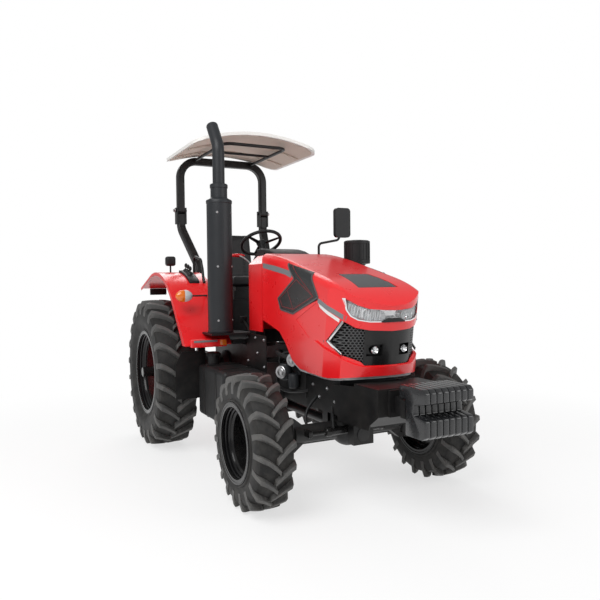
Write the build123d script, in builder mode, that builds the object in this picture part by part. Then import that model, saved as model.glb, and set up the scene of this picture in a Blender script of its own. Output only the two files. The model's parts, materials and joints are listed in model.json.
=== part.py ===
from build123d import *
import os
from math import cos, radians, sin, sqrt, tan

# Layout: stations run forward from the rear axle, heights run up from the ground
wheelbase = 2116.0
front_reach = 3280.0
rear_reach = 1100.0
rear_axle_x = (rear_reach - front_reach) / 2
sheet = 8.0
play = 1.0
seat_gap = 0.3

# Rear wheels
rear_tyre_radius = 710.0
rear_tyre_width = 375.0
rear_track = 1760.0
rear_rim_radius = 408.0
rear_rim_width = 312.0
rear_disc_offset = -45.0
rear_lug_height = 38.0
rear_lug_count = 22
rear_lug_width = 38.0
axle_bar_radius = 42.0
axle_bar_end = 1062.0

# Front wheels
front_tyre_radius = 473.0
front_tyre_width = 272.0
front_track = 1556.0
front_rim_radius = 282.0
front_rim_width = 284.0
front_disc_offset = -55.0
front_lug_height = 30.0
front_lug_count = 19
front_lug_width = 32.0

# Wheel sections
rim_wall = 9.0
flange_height = 25.0
flange_wall = 11.0
well_depth = 34.0
well_half = 95.0
shoulder_drop = 16.0
sidewall_share = 0.45
tyre_sides = 40
lug_root = 60.0
lug_taper = 12.0
lug_overlap = 14.0
lug_bend = 0.55

# Front axle and steering
kingpin_y = front_track / 2 - 218.0
knuckle_radius = 78.0
knuckle_half_height = 88.0
yoke_thickness = 34.0
yoke_radius = 58.0
web_half = 30.0
kingpin_radius = 20.0
spindle_radius = 62.0
hub_face_y = front_track / 2 - 88.0
axle_tube_radius = 66.0
diff_radius = 130.0
trunnion_radius = 52.0
trunnion_reach = 235.0
cradle_length = 80.0
steer_arm_back = 190.0
steer_arm_drop = 60.0
tie_rod_drop = 58.0
steer_arm_thickness = 26.0
steer_arm_half = 22.0
steer_eye_radius = 30.0
stud_radius = 14.0
tie_rod_radius = 17.0
shaft_radius = 38.0

# Engine, gearbox and rear axle housing
engine_front = wheelbase - 256.0
engine_rear = engine_front - 560.0
engine_half = 215.0
engine_bottom = 590.0
engine_top = 1190.0
sump_depth = 90.0
head_height = 130.0
pulley_radius = 95.0
gearbox_rear = -330.0
gearbox_half = 190.0
gearbox_bottom = 500.0
gearbox_top = 980.0
lift_box_front = 190.0
lift_box_top = 1215.0
trumpet_radius = 108.0
trumpet_end = 660.0
pad_half = 62.0
pad_top = 835.0
pad_y = 400.0
clevis_z = 915.0
clevis_half = 48.0
clevis_slot = 34.0
clevis_hole_radius = 12.5

# Front frame and weights
frame_rear = engine_front
frame_front = wheelbase + 644.0
frame_half = 205.0
frame_wall = 40.0
frame_bottom = 625.0
frame_top = 860.0
guard_half = 262.0
guard_plate = 10.0
guard_front = frame_front + 100.0
weight_count = 8
weight_pitch = 47.0
weight_gap = 2.0
weight_rear = front_reach - 185.0
weight_bottom = 652.0
weight_top = 950.0
hanger_bottom = 790.0
hanger_top = 872.0

# Hood
hood_rear = 1307.0
hood_half = 335.0
nose_corner_half = 300.0
nose_corner_back = 150.0
nose_foot = 2678.0
nose_lean = 0.14
nose_bottom = 948.0
hood_top_rear = 1826.0
hood_edge_radius = 55.0
cowl_rear = 1010.0
cowl_gap = 8.0
cowl_foot = 1160.0
cowl_shoulder = 1740.0
cowl_chamfer = 90.0
cowl_top = hood_top_rear - 10.0
hood_length = nose_foot - hood_rear
crest_drop = 421.0
crest_shares = ((0.141, 0.062), (0.633, 0.423), (0.914, 0.691), (1.06, 1.0))
panel_wall = 6.0
panel_rim = 14.0
bumper_stand = 14.0
facet_depth = 3.0
lamp_inset = 5.0
lamp_depth = 36.0
fog_radius = 27.0
fog_y = 118.0
fog_z = 1122.0
fog_rear = 2560.0
fog_front = 2672.0
mesh_hole = 11.0
mesh_pitch = 34.0

# Radiator
radiator_rear = 2330.0
radiator_depth = 90.0
radiator_half = 240.0
radiator_top = 1400.0

# Operator station
floor_top = 1080.0
floor_thickness = 40.0
floor_half = 492.0
floor_rear = 330.0
floor_front = 1000.0
floor_bottom = floor_top - floor_thickness
riser_wall = 8.0
deck_rear = -450.0
deck_half = floor_half - 170.0
deck_z = 1400.0
deck_wall = 12.0
dash_top = 1850.0
dash_half = 185.0
seat_rear = -160.0
seat_front = 300.0
seat_half = 235.0
seat_base_half = 190.0
seat_base_top = 1540.0
seat_top = 1650.0
seat_edge = 28.0
back_half = 225.0
back_depth = 110.0
back_lean = 85.0
back_top = 2130.0
back_edge = 22.0
fender_inner = 500.0
fender_outer = 920.0
fender_foot = 1040.0
fender_front = 985.0
fender_lip = 26.0
arch_radius = 825.0
arch_corner = (245.0, 1796.0)
fender_tail = (-649.0, 1534.0)
wheel_centre = (520.0, 0.0, 1970.0)
wheel_tilt = 32.0
wheel_rim_radius = 195.0
wheel_grip_radius = 15.0
column_radius = 34.0

# Roll bar and canopy
hoop_station = -560.0
hoop_half = 490.0
hoop_tube = 80.0
hoop_corner = 190.0
hinge_z = 2380.0
hinge_plate = 14.0
hinge_pin_radius = 16.0
post_foot_station = -200.0
post_bend_low = 1740.0
post_bend_high = 2190.0
canopy_rear = -605.0
canopy_front = 530.0
canopy_half = 655.0
canopy_crown = 3045.0
hoop_top = canopy_crown - 115.0
canopy_drop = 130.0
canopy_wall = 30.0
canopy_corner = 130.0
canopy_tube = 16.0

# Exhaust and air intake
exhaust_station = 1030.0
exhaust_y = -612.0
muffler_radius = 108.0
muffler_bottom = 1152.0
muffler_top = 2290.0
sleeve_radius = 72.0
sleeve_top = 2430.0
pipe_radius = 52.0
pipe_wall = 4.0
pipe_bend = 2760.0
pipe_tip = 2960.0
intake_station = engine_rear + 250.0
intake_y = 458.0
intake_pipe_radius = 38.0
intake_elbow_z = 1130.0
bowl_radius = 110.0
bowl_bottom = 1735.0
bowl_top = 1925.0

# Side shields, fuel tank, mud plate and step
shield_y = 378.0
shield_wall = 6.0
shield_rear = 1060.0
shield_front = 1480.0
shield_bottom = 840.0
shield_top = 1140.0
shield_stay_z = 930.0
shield_stay_radius = 16.0
muffler_plate = 16.0
muffler_plate_half = 130.0
tank_rear = 800.0
tank_front = wheelbase - front_tyre_radius - 183.0
tank_outer = 750.0
tank_inner = 400.0
tank_bottom = 420.0
tank_top = 862.0
tank_edge = 38.0
filler_station = tank_rear + 105.0
filler_y = 640.0
filler_radius = 52.0
filler_height = 73.0
cap_radius = 62.0
cap_height = 27.0
tank_hanger_z = 600.0
tank_hanger_height = 60.0
tank_hanger_width = 40.0
mud_station = tank_rear - 48.0
mud_wall = 6.0
mud_outer = 940.0
mud_inner = 668.0
mud_bottom = 548.0
mud_top = 970.0
step_rear = 800.0
step_front = 1100.0
step_plate = 10.0
step_inner = 470.0
step_shelf = 560.0
step_outer = 800.0
step_bottom = 430.0
tread_depth = 25.0

# Mirror, lamps and rails
mirror_station = 1130.0
mirror_y = 560.0
mirror_z = 2130.0
mirror_depth = 45.0
mirror_width = 160.0
mirror_height = 275.0
mirror_edge = 34.0
mirror_foot_y = 300.0
mirror_arm_z = 1930.0
mirror_arm_radius = 11.0
indicator = (780.0, 860.0, 1468.0)
indicator_radius = 48.0
indicator_half = 20.0
indicator_arm_radius = 7.0
work_lamp = (-210.0, 710.0, 1810.0)
work_lamp_half = 50.0
work_lamp_depth = 80.0
work_stalk_radius = 9.0
tail_lamp_inner = 640.0
tail_lamp_outer = 820.0
tail_lamp_height = 70.0
rail_y = 560.0
rail_rear = 120.0
rail_front = 430.0
rail_top = 1850.0
rail_bend = 50.0
rail_radius = 13.0

# Rear linkage
link_pivot = (-170.0, 230.0, 560.0)
link_drop = 90.0
link_end_y = 410.0
link_eye_radius = 48.0
link_ball_radius = 14.5
link_eye_half = 20.0
link_width = 34.0
rockshaft_radius = 35.0
lift_pin_radius = 11.0
lift_rod_out = 40.0
lift_rod_radius = 15.0
rockshaft = (-260.0, 0.0, 1130.0)
rod_back = 400.0
arm_y = 312.0
drawbar_end = -830.0
drawbar_hole_back = 50.0
drawbar_hole_radius = 16.5
drawbar_z = 400.0
drawbar_depth = 36.0
drawbar_half = 40.0
pto_z = 640.0
pto_radius = 17.5
pto_length = 90.0

side_view = Plane(origin=(rear_axle_x, 0, 0), x_dir=(1, 0, 0), z_dir=(0, -1, 0))
plan_view = Plane(origin=(rear_axle_x, 0, 0))
os.makedirs("parts", exist_ok=True)


def at(station, y, z):
    return (rear_axle_x + station, y, z)


def cross_view(station, y=0.0, z=0.0):
    return Plane(origin=at(station, y, z), x_dir=(0, 1, 0), z_dir=(1, 0, 0))


def save(piece, name):
    piece.label = name
    export_step(piece, f"parts/{name}.step")


def save_pair(left_piece, name):
    save(left_piece, f"{name}_left")
    save(mirror(left_piece, about=Plane.XZ, mode=Mode.PRIVATE), f"{name}_right")


def prism(points, plane, depth, both=False, mode=Mode.ADD):
    with BuildSketch(plane) as face:
        with BuildLine():
            Polyline(*points, close=True)
        make_face()
    extrude(face.sketch, amount=depth, both=both, mode=mode)


def rod(start, end, radius, mode=Mode.ADD):
    run = Vector(*end) - Vector(*start)
    with BuildSketch(Plane(origin=start, z_dir=run)) as disc:
        Circle(radius)
    extrude(disc.sketch, amount=run.length, mode=mode)


def block(stations, widths, heights, mode=Mode.ADD):
    centre = at(sum(stations) / 2, sum(widths) / 2, sum(heights) / 2)
    with Locations(centre):
        Box(
            stations[1] - stations[0],
            widths[1] - widths[0],
            heights[1] - heights[0],
            mode=mode,
        )


def bent_bar(points, radius, section_radius):
    with BuildLine() as route:
        FilletPolyline(*points, radius=radius)
    with BuildSketch(Plane(origin=route.line @ 0, z_dir=route.line % 0)) as section:
        Circle(section_radius)
    sweep(section.sketch, path=route.line)


# Wheels: the left ones are modelled and the right ones mirrored
def tyre(station, track, radius, width, rim_radius, rim_width, lug_height, lug_count, lug_width):
    crown = radius - lug_height
    bead_radius = rim_radius - flange_height
    bead_half = rim_width / 2 - flange_wall
    side_radius = bead_radius + sidewall_share * (crown - bead_radius)
    half = width / 2
    axle = Axis(at(station, 0, radius), (0, 1, 0))
    middle = Plane(origin=at(station, track / 2, radius), x_dir=(0, 0, 1), z_dir=(0, 1, 0))
    rings = (
        (-half, side_radius),
        (-half + shoulder_drop, crown - shoulder_drop),
        (-half + 3 * shoulder_drop, crown),
        (half - 3 * shoulder_drop, crown),
        (half - shoulder_drop, crown - shoulder_drop),
        (half, side_radius),
    )

    # One bar lug, leading at the crown and trailing at the shoulder, wider at its root
    lug_depth = lug_height + lug_root
    lug_end = half - lug_depth * tan(radians(lug_taper)) - 4 * play
    lead = lug_end / 2
    bend = lead - 2 * lead * 0.62
    wide = lug_width / 2
    tip_height = sqrt(radius**2 - (lead + wide) ** 2)
    with BuildSketch(Plane(origin=at(station, track / 2, radius + tip_height))) as bar:
        with BuildLine():
            Polyline(
                (lead + wide, -lug_overlap),
                (bend + wide, lug_bend * lug_end),
                (wide - lead, lug_end),
                (-wide - lead, lug_end),
                (bend - wide, lug_bend * lug_end),
                (lead - wide, -lug_overlap),
                close=True,
            )
        make_face()
    lug = extrude(bar.sketch, amount=-lug_depth, taper=-lug_taper)
    far_lug = mirror(lug, about=middle)
    pitch = 360 / lug_count
    lugs = [lug.rotate(axle, pitch * index) for index in range(lug_count)]
    lugs += [far_lug.rotate(axle, pitch * (index + 0.5)) for index in range(lug_count)]

    with BuildPart() as body:
        for offset_y, ring_radius in rings:
            with BuildSketch(middle.offset(offset_y)):
                RegularPolygon(ring_radius, tyre_sides)
        loft(ruled=True)
        add(lugs)
        with BuildSketch(cross_view(station, track / 2, radius)):
            with BuildLine():
                Polyline(
                    (-half - play, 0),
                    (-half - play, side_radius - shoulder_drop),
                    (-bead_half, rim_radius + play),
                    (-bead_half, bead_radius),
                    (bead_half, bead_radius),
                    (bead_half, rim_radius + play),
                    (half + play, side_radius - shoulder_drop),
                    (half + play, 0),
                    close=True,
                )
            make_face()
        revolve(axis=axle, mode=Mode.SUBTRACT)
    return body.part


def rim(station, track, tyre_radius, rim_radius, rim_width, hub_points):
    bead_radius = rim_radius - flange_height
    half = rim_width / 2
    well = bead_radius - well_depth
    inner = bead_radius - rim_wall
    with BuildPart() as body:
        with BuildSketch(cross_view(station, track / 2, tyre_radius)):
            with BuildLine():
                Polyline(
                    (-half, rim_radius),
                    (-half + flange_wall, rim_radius),
                    (-half + flange_wall, bead_radius),
                    (-well_half, bead_radius),
                    (-well_half + well_depth, well),
                    (well_half - well_depth, well),
                    (well_half, bead_radius),
                    (half - flange_wall, bead_radius),
                    (half - flange_wall, rim_radius),
                    (half, rim_radius),
                    (half, inner),
                    (well_half, inner),
                    (well_half - well_depth, well - rim_wall),
                    (-well_half + well_depth, well - rim_wall),
                    (-well_half, inner),
                    (-half, inner),
                    close=True,
                )
            make_face()
            with BuildLine():
                Polyline(*hub_points, close=True)
            make_face()
        revolve(axis=Axis(at(station, 0, tyre_radius), (0, 1, 0)))
    return body.part


rear_centre_y = rear_track / 2
rear_well = rear_rim_radius - flange_height - well_depth - rim_wall
rear_tyre = tyre(
    0,
    rear_track,
    rear_tyre_radius,
    rear_tyre_width,
    rear_rim_radius,
    rear_rim_width,
    rear_lug_height,
    rear_lug_count,
    rear_lug_width,
)
save_pair(rear_tyre, "rear_tyre")

ring_plate = 16.0
ring_inner = rear_well - 70.0
rear_rim = rim(
    0,
    rear_track,
    rear_tyre_radius,
    rear_rim_radius,
    rear_rim_width,
    (
        (rear_disc_offset, ring_inner),
        (rear_disc_offset, rear_well + 2),
        (rear_disc_offset + ring_plate, rear_well + 2),
        (rear_disc_offset + ring_plate, ring_inner),
    ),
)
save_pair(rear_rim, "rear_rim")

# Cast rear wheel centre on its bar axle, which runs in the axle housing
hub_radius = 92.0
hub_half = 62.0
disc_wall = 26.0
disc_edge = rear_well - 22.0
bar_seat = 60.0
with BuildPart() as rear_centre:
    with BuildSketch(cross_view(0, rear_centre_y, rear_tyre_radius)):
        with BuildLine():
            Polyline(
                (-hub_half + rear_disc_offset, 0),
                (-hub_half + rear_disc_offset, hub_radius),
                (rear_disc_offset - disc_wall - 30, hub_radius + 24),
                (rear_disc_offset - disc_wall, disc_edge),
                (rear_disc_offset, disc_edge),
                (rear_disc_offset, hub_radius + 46),
                (rear_disc_offset + 18, hub_radius + 6),
                (rear_disc_offset + hub_half, hub_radius - 14),
                (rear_disc_offset + hub_half, 0),
                close=True,
            )
        make_face()
    revolve(axis=Axis(at(0, 0, rear_tyre_radius), (0, 1, 0)))
    rod(
        at(0, trumpet_end - bar_seat, rear_tyre_radius),
        at(0, axle_bar_end, rear_tyre_radius),
        axle_bar_radius,
    )
save_pair(rear_centre.part, "rear_wheel_centre")

front_centre_y = front_track / 2
front_well = front_rim_radius - flange_height - well_depth - rim_wall
front_tyre = tyre(
    wheelbase,
    front_track,
    front_tyre_radius,
    front_tyre_width,
    front_rim_radius,
    front_rim_width,
    front_lug_height,
    front_lug_count,
    front_lug_width,
)
save_pair(front_tyre, "front_tyre")

front_disc_wall = 14.0
front_hub_radius = 105.0
front_hub_back = hub_face_y - front_centre_y
front_rim = rim(
    wheelbase,
    front_track,
    front_tyre_radius,
    front_rim_radius,
    front_rim_width,
    (
        (front_hub_back, 0),
        (front_hub_back, front_hub_radius + 40),
        (front_disc_offset - front_disc_wall, front_well + 2),
        (front_disc_offset, front_well + 2),
        (front_hub_back + front_disc_wall, front_hub_radius + 40),
        (front_hub_back + front_disc_wall, front_hub_radius),
        (front_disc_offset + 70, front_hub_radius - 18),
        (front_disc_offset + 70, 0),
    ),
)
save_pair(front_rim, "front_rim")

# Front axle: beam with forked ends, knuckles on kingpins, and the tie rod behind
axle_z = front_tyre_radius
yoke_inner = knuckle_half_height + play
yoke_outer = yoke_inner + yoke_thickness
with BuildPart() as front_axle:
    with Locations(at(wheelbase, 0, axle_z)):
        Sphere(diff_radius)
    rod(at(wheelbase, 0, axle_z), at(wheelbase, kingpin_y - knuckle_radius - 20, axle_z), axle_tube_radius)
    rod(at(wheelbase, 0, axle_z), at(wheelbase + trunnion_reach, 0, axle_z), trunnion_radius)
    rod(at(wheelbase, 0, axle_z), at(wheelbase - trunnion_reach, 0, axle_z), trunnion_radius)
    prism(
        (
            (kingpin_y - knuckle_radius - 100, axle_z - 60),
            (kingpin_y - knuckle_radius - 20, axle_z - yoke_outer),
            (kingpin_y, axle_z - yoke_outer),
            (kingpin_y, axle_z - yoke_inner),
            (kingpin_y - knuckle_radius - 8, axle_z - yoke_inner),
            (kingpin_y - knuckle_radius - 8, axle_z + yoke_inner),
            (kingpin_y, axle_z + yoke_inner),
            (kingpin_y, axle_z + yoke_outer),
            (kingpin_y - knuckle_radius - 20, axle_z + yoke_outer),
            (kingpin_y - knuckle_radius - 100, axle_z + 60),
        ),
        cross_view(wheelbase),
        web_half,
        both=True,
    )
    for low in (axle_z - yoke_outer, axle_z + yoke_inner):
        rod(at(wheelbase, kingpin_y, low), at(wheelbase, kingpin_y, low + yoke_thickness), yoke_radius)
    rod(
        at(wheelbase, kingpin_y, axle_z - yoke_outer - play),
        at(wheelbase, kingpin_y, axle_z + yoke_outer + play),
        kingpin_radius + seat_gap,
        mode=Mode.SUBTRACT,
    )
    mirror(about=Plane.XZ)
save(front_axle.part, "front_axle_beam")

eye_station = wheelbase - steer_arm_back
eye_y = kingpin_y
steer_arm_z = axle_z - steer_arm_drop
with BuildPart() as knuckle:
    rod(
        at(wheelbase, kingpin_y, axle_z - knuckle_half_height),
        at(wheelbase, kingpin_y, axle_z + knuckle_half_height),
        knuckle_radius,
    )
    rod(
        at(wheelbase, kingpin_y, axle_z - yoke_outer),
        at(wheelbase, kingpin_y, axle_z + yoke_outer),
        kingpin_radius,
    )
    rod(at(wheelbase, kingpin_y, axle_z), at(wheelbase, hub_face_y - seat_gap, axle_z), spindle_radius)
    block(
        (eye_station, wheelbase),
        (kingpin_y - steer_arm_half, kingpin_y + steer_arm_half),
        (steer_arm_z - steer_arm_thickness / 2, steer_arm_z + steer_arm_thickness / 2),
    )
    rod(
        at(eye_station, eye_y, steer_arm_z - steer_arm_thickness / 2),
        at(eye_station, eye_y, steer_arm_z + steer_arm_thickness / 2),
        steer_eye_radius,
    )
    rod(
        at(eye_station, eye_y, steer_arm_z - steer_arm_thickness),
        at(eye_station, eye_y, steer_arm_z + steer_arm_thickness),
        stud_radius + seat_gap,
        mode=Mode.SUBTRACT,
    )
save_pair(knuckle.part, "knuckle")

tie_rod_z = steer_arm_z - tie_rod_drop
with BuildPart() as tie_rod:
    rod(at(eye_station, -eye_y, tie_rod_z), at(eye_station, eye_y, tie_rod_z), tie_rod_radius)
    for sign in (-1, 1):
        rod(
            at(eye_station, sign * eye_y, tie_rod_z - tie_rod_radius - 4),
            at(eye_station, sign * eye_y, tie_rod_z + tie_rod_radius + 4),
            tie_rod_radius + 8,
        )
        rod(
            at(eye_station, sign * eye_y, tie_rod_z),
            at(eye_station, sign * eye_y, steer_arm_z + steer_arm_thickness / 2 + 6),
            stud_radius,
        )
save(tie_rod.part, "tie_rod")

# Engine, gearbox, rear axle housing and the drive to the front axle
with BuildPart() as engine:
    block(
        (engine_rear, engine_front),
        (-engine_half, engine_half),
        (engine_bottom + sump_depth, engine_top - head_height),
    )
    block(
        (engine_rear + 40, engine_front - 60),
        (-engine_half + 60, engine_half - 60),
        (engine_bottom, engine_bottom + sump_depth),
    )
    block(
        (engine_rear + 60, engine_front - 60),
        (-engine_half + 70, engine_half - 70),
        (engine_top - head_height, engine_top),
    )
    pulley_z = engine_bottom + 230
    rod(at(engine_front, 0, pulley_z), at(engine_front + 60, 0, pulley_z), pulley_radius)
save(engine.part, "engine_block")

with BuildPart() as gearbox:
    prism(
        (
            (gearbox_rear, gearbox_bottom + 60),
            (gearbox_rear + 120, gearbox_bottom),
            (400, gearbox_bottom),
            (floor_front - 60, gearbox_bottom + 40),
            (engine_rear, engine_bottom),
            (engine_rear, gearbox_top + 60),
            (floor_front - 200, gearbox_top),
            (lift_box_front, gearbox_top),
            (lift_box_front - 40, lift_box_top),
            (gearbox_rear, lift_box_top - 60),
        ),
        side_view,
        gearbox_half,
        both=True,
    )
    block((floor_front - 120, floor_front + 60), (-110, 110), (axle_z - 75, gearbox_bottom + 80))
    rod(
        at(gearbox_rear, 0, pto_z),
        at(gearbox_rear - pto_length, 0, pto_z),
        pto_radius,
    )
    rod(at(rockshaft[0], -arm_y + 40, rockshaft[2]), at(rockshaft[0], arm_y - 40, rockshaft[2]), 62)
    prism(
        (
            (gearbox_rear, clevis_z - 65),
            (gearbox_rear - 75, clevis_z - 35),
            (gearbox_rear - 75, clevis_z + 35),
            (gearbox_rear, clevis_z + 65),
        ),
        side_view,
        clevis_half,
        both=True,
    )
    block(
        (gearbox_rear - 90, gearbox_rear),
        (-clevis_slot / 2, clevis_slot / 2),
        (clevis_z - 75, clevis_z + 75),
        mode=Mode.SUBTRACT,
    )
    rod(
        at(gearbox_rear - 45, -clevis_half - 12, clevis_z),
        at(gearbox_rear - 45, clevis_half + 12, clevis_z),
        clevis_hole_radius,
        mode=Mode.SUBTRACT,
    )
    rod(
        at(link_pivot[0], -link_pivot[1] - link_eye_half - 8, link_pivot[2]),
        at(link_pivot[0], link_pivot[1] + link_eye_half + 8, link_pivot[2]),
        link_ball_radius - seat_gap,
    )
    rod(
        at(rockshaft[0], -arm_y - 8, rockshaft[2]),
        at(rockshaft[0], arm_y + 8, rockshaft[2]),
        rockshaft_radius,
    )
save(gearbox.part, "gearbox_housing")

with BuildPart() as rear_axle:
    with BuildSketch(cross_view(0, 0, rear_tyre_radius)):
        with BuildLine():
            Polyline(
                (gearbox_half, 0),
                (gearbox_half, 165),
                (gearbox_half + 24, 165),
                (gearbox_half + 60, trumpet_radius + 14),
                (trumpet_end - 40, trumpet_radius - 18),
                (trumpet_end - 40, trumpet_radius),
                (trumpet_end, trumpet_radius),
                (trumpet_end, axle_bar_radius + seat_gap),
                (trumpet_end - bar_seat - play, axle_bar_radius + seat_gap),
                (trumpet_end - bar_seat - play, 0),
                close=True,
            )
        make_face()
    revolve(axis=Axis(at(0, 0, rear_tyre_radius), (0, 1, 0)))
    block((-pad_half, pad_half), (pad_y - pad_half, pad_y + pad_half), (rear_tyre_radius, pad_top))
    mirror(about=Plane.XZ)
save(rear_axle.part, "rear_axle_housing")

with BuildPart() as drive_shaft:
    rod(at(floor_front + 60, 0, axle_z), at(wheelbase - trunnion_reach, 0, axle_z), shaft_radius)
save(drive_shaft.part, "front_drive_shaft")

# Front frame: two rails, a cross plate and the cradle blocks that hold the axle's trunnions
with BuildPart() as front_frame:
    for sign in (-1, 1):
        block(
            (frame_rear, frame_front),
            sorted((sign * frame_half, sign * (frame_half - frame_wall))),
            (frame_bottom, frame_top),
        )
    block((frame_front - 30, frame_front), (-frame_half, frame_half), (frame_bottom, frame_top))
    block((engine_front + 80, frame_front), (-frame_half, frame_half), (frame_top - 30, frame_top))
    for sign in (-1, 1):
        cradle = sorted(
            (
                wheelbase + sign * (trunnion_reach - 5),
                wheelbase + sign * (trunnion_reach - 5 - cradle_length),
            )
        )
        block(cradle, (-frame_half, frame_half), (frame_bottom, frame_bottom + 60))
        block(cradle, (-85, 85), (axle_z - 75, frame_bottom))
    rod(
        at(wheelbase - trunnion_reach - 20, 0, axle_z),
        at(wheelbase + trunnion_reach + 20, 0, axle_z),
        trunnion_radius + seat_gap,
        mode=Mode.SUBTRACT,
    )
    block(
        (wheelbase - diff_radius - 15, wheelbase + diff_radius + 15),
        (-diff_radius - 10, diff_radius + 10),
        (axle_z - diff_radius, axle_z + diff_radius + 8),
        mode=Mode.SUBTRACT,
    )
save(front_frame.part, "front_frame")

with BuildPart() as front_guard:
    prism(
        (
            (frame_front, frame_bottom + 20),
            (guard_front - 60, frame_bottom + 20),
            (guard_front + 60, hanger_bottom - 60),
            (guard_front + 60, frame_top + 45),
            (frame_front - 120, frame_top + 45),
            (frame_front - 120, frame_top),
            (frame_front, frame_top),
        ),
        side_view,
        guard_half,
        both=True,
    )
    for sign in (-1, 1):
        prism(
            (
                (frame_front - 425, frame_top),
                (frame_front - 330, frame_bottom - 8),
                (guard_front - 50, frame_bottom),
                (guard_front + 24, frame_top + 45),
            ),
            side_view.offset(sign * guard_half),
            -sign * guard_plate,
        )
save(front_guard.part, "front_guard")

# Front weights hang side by side on the hanger bar of their bracket
weight_half = weight_count * weight_pitch / 2
with BuildPart() as weight_bracket:
    block((guard_front + 60, weight_rear), (-150, -110), (hanger_bottom - 40, hanger_top - 10))
    block((guard_front + 60, weight_rear), (110, 150), (hanger_bottom - 40, hanger_top - 10))
    block(
        (weight_rear - 45, weight_rear),
        (-weight_half, weight_half),
        (hanger_bottom - 40, hanger_top - 10),
    )
    block((guard_front + 60, guard_front + 85), (-190, 190), (hanger_bottom - 60, frame_top + 40))
save(weight_bracket.part, "weight_bracket")

grip_depth = 104.0
with BuildPart() as weights:
    first = -weight_half + weight_pitch / 2
    for index in range(weight_count):
        prism(
            (
                (weight_rear + seat_gap, weight_bottom),
                (front_reach - 20, weight_bottom),
                (front_reach, weight_bottom + 20),
                (front_reach, weight_bottom + 112),
                (front_reach - 16, weight_bottom + 122),
                (front_reach - grip_depth, weight_bottom + 132),
                (front_reach - grip_depth, weight_bottom + 196),
                (front_reach - 16, weight_bottom + 206),
                (front_reach, weight_bottom + 216),
                (front_reach, weight_top - 24),
                (front_reach - 24, weight_top),
                (weight_rear - 60, weight_top),
                (weight_rear - 60, hanger_top),
                (weight_rear + seat_gap, hanger_top),
            ),
            side_view.offset(first + index * weight_pitch),
            (weight_pitch - weight_gap) / 2,
            both=True,
        )
save(weights.part, "front_weights")

# Outlines on the hood, as stations and heights, or as half widths and heights on the nose
lamp_half = (
    (0, 1388),
    (61, 1390),
    (171, 1399),
    (236, 1423),
    (305, 1473),
    (294, 1393),
    (272, 1351),
    (231, 1325),
    (166, 1313),
    (92, 1312),
    (50, 1334),
    (0, 1334),
)
grille_half = (
    (0, 1249),
    (162, 1257),
    (242, 1274),
    (305, 1320),
    (333, 1172),
    (303, 1087),
    (206, 1046),
    (180, 1019),
    (0, 1019),
)
side_mesh = (
    (1627, 1728),
    (2061, 1640),
    (2287, 1454),
    (1870, 1345),
    (1655, 1376),
    (1581, 1471),
    (1680, 1631),
)
side_facet = ((2255, 1432), (2470, 1318), (2144, 1174), (1936, 1298))
top_mesh = ((2211, 130), (2550, 165), (2550, -165), (2211, -130))
bumper_side = (
    (2250, 1165),
    (2540, 1075),
    (2650, 1012),
    (2900, 1012),
    (2900, 880),
    (2150, 880),
    (2080, 1020),
)
grille_start = 2340.0
lamp_start = 2545.0
nose_cut_depth = 600.0
hood_skirt = (
    (2900, nose_bottom),
    (nose_foot, nose_bottom),
    (2421, 918),
    (1990, 932),
    (1860, 985),
    (1740, 1110),
    (1640, 1185),
    (1544, 1209),
    (hood_rear, 1262),
)
hollow_rear = hood_rear - 10
hollow_skirt = ((2900, nose_bottom - 60), (hollow_rear, nose_bottom - 60))


# Hood: a leaning rounded nose cut to the side outline, made hollow by the same form set in
def hood_form(inset, rear, lower):
    with BuildPart() as form:
        for height in (nose_bottom - 80, hood_top_rear + 60):
            nose = nose_foot + nose_lean * (height - nose_bottom) - inset
            corner = nose - nose_corner_back
            half = hood_half - inset
            corner_half = nose_corner_half - inset
            with BuildSketch(plan_view.offset(height)):
                with BuildLine():
                    ThreePointArc((corner, -corner_half), (nose, 0), (corner, corner_half))
                    Polyline(
                        (corner, corner_half),
                        (corner - 180, half),
                        (rear, half),
                        (rear, -half),
                        (corner - 180, -half),
                        (corner, -corner_half),
                    )
                make_face()
        loft(ruled=True)
        top = hood_top_rear - inset
        crest_points = [
            (hood_rear + hood_length * run, top - crest_drop * fall) for run, fall in crest_shares
        ]
        with BuildSketch(side_view):
            with BuildLine():
                crest = Spline((rear, top), *crest_points)
                Polyline(crest @ 1, (lower[0][0], (crest @ 1).Y - 2 * sheet), *lower, (rear, top))
            make_face()
        extrude(amount=2 * hood_half, both=True, mode=Mode.INTERSECT)
        ridge = form.edges().filter_by(lambda edge: edge.center().Z > 1500 and edge.length > 900)
        fillet(ridge, hood_edge_radius - inset)
    return form.part


def hood_layer(outer, inner):
    with BuildPart() as layer:
        add(hood_form(outer, hollow_rear, hollow_skirt))
        add(hood_form(inner, hollow_rear, hollow_skirt), mode=Mode.SUBTRACT)
    return layer.part


def outline(points, plane, depth, grow=0.0, both=False):
    with BuildSketch(plane) as face:
        with BuildLine():
            Polyline(*points, close=True)
        make_face()
        if grow:
            offset(amount=grow, kind=Kind.INTERSECTION)
    return extrude(face.sketch, amount=depth, both=both, mode=Mode.PRIVATE)


def nose_outline(half_points, start, grow=0.0):
    far_points = [(-y, z) for y, z in reversed(half_points[1:-1])]
    return outline((*half_points, *far_points), cross_view(start), nose_cut_depth, grow)


def side_outline(points, grow=0.0):
    return outline(points, side_view, 2 * hood_half, grow, both=True)


def top_outline(grow=0.0):
    return outline(top_mesh, plan_view.offset(1450), 400, grow)


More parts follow.
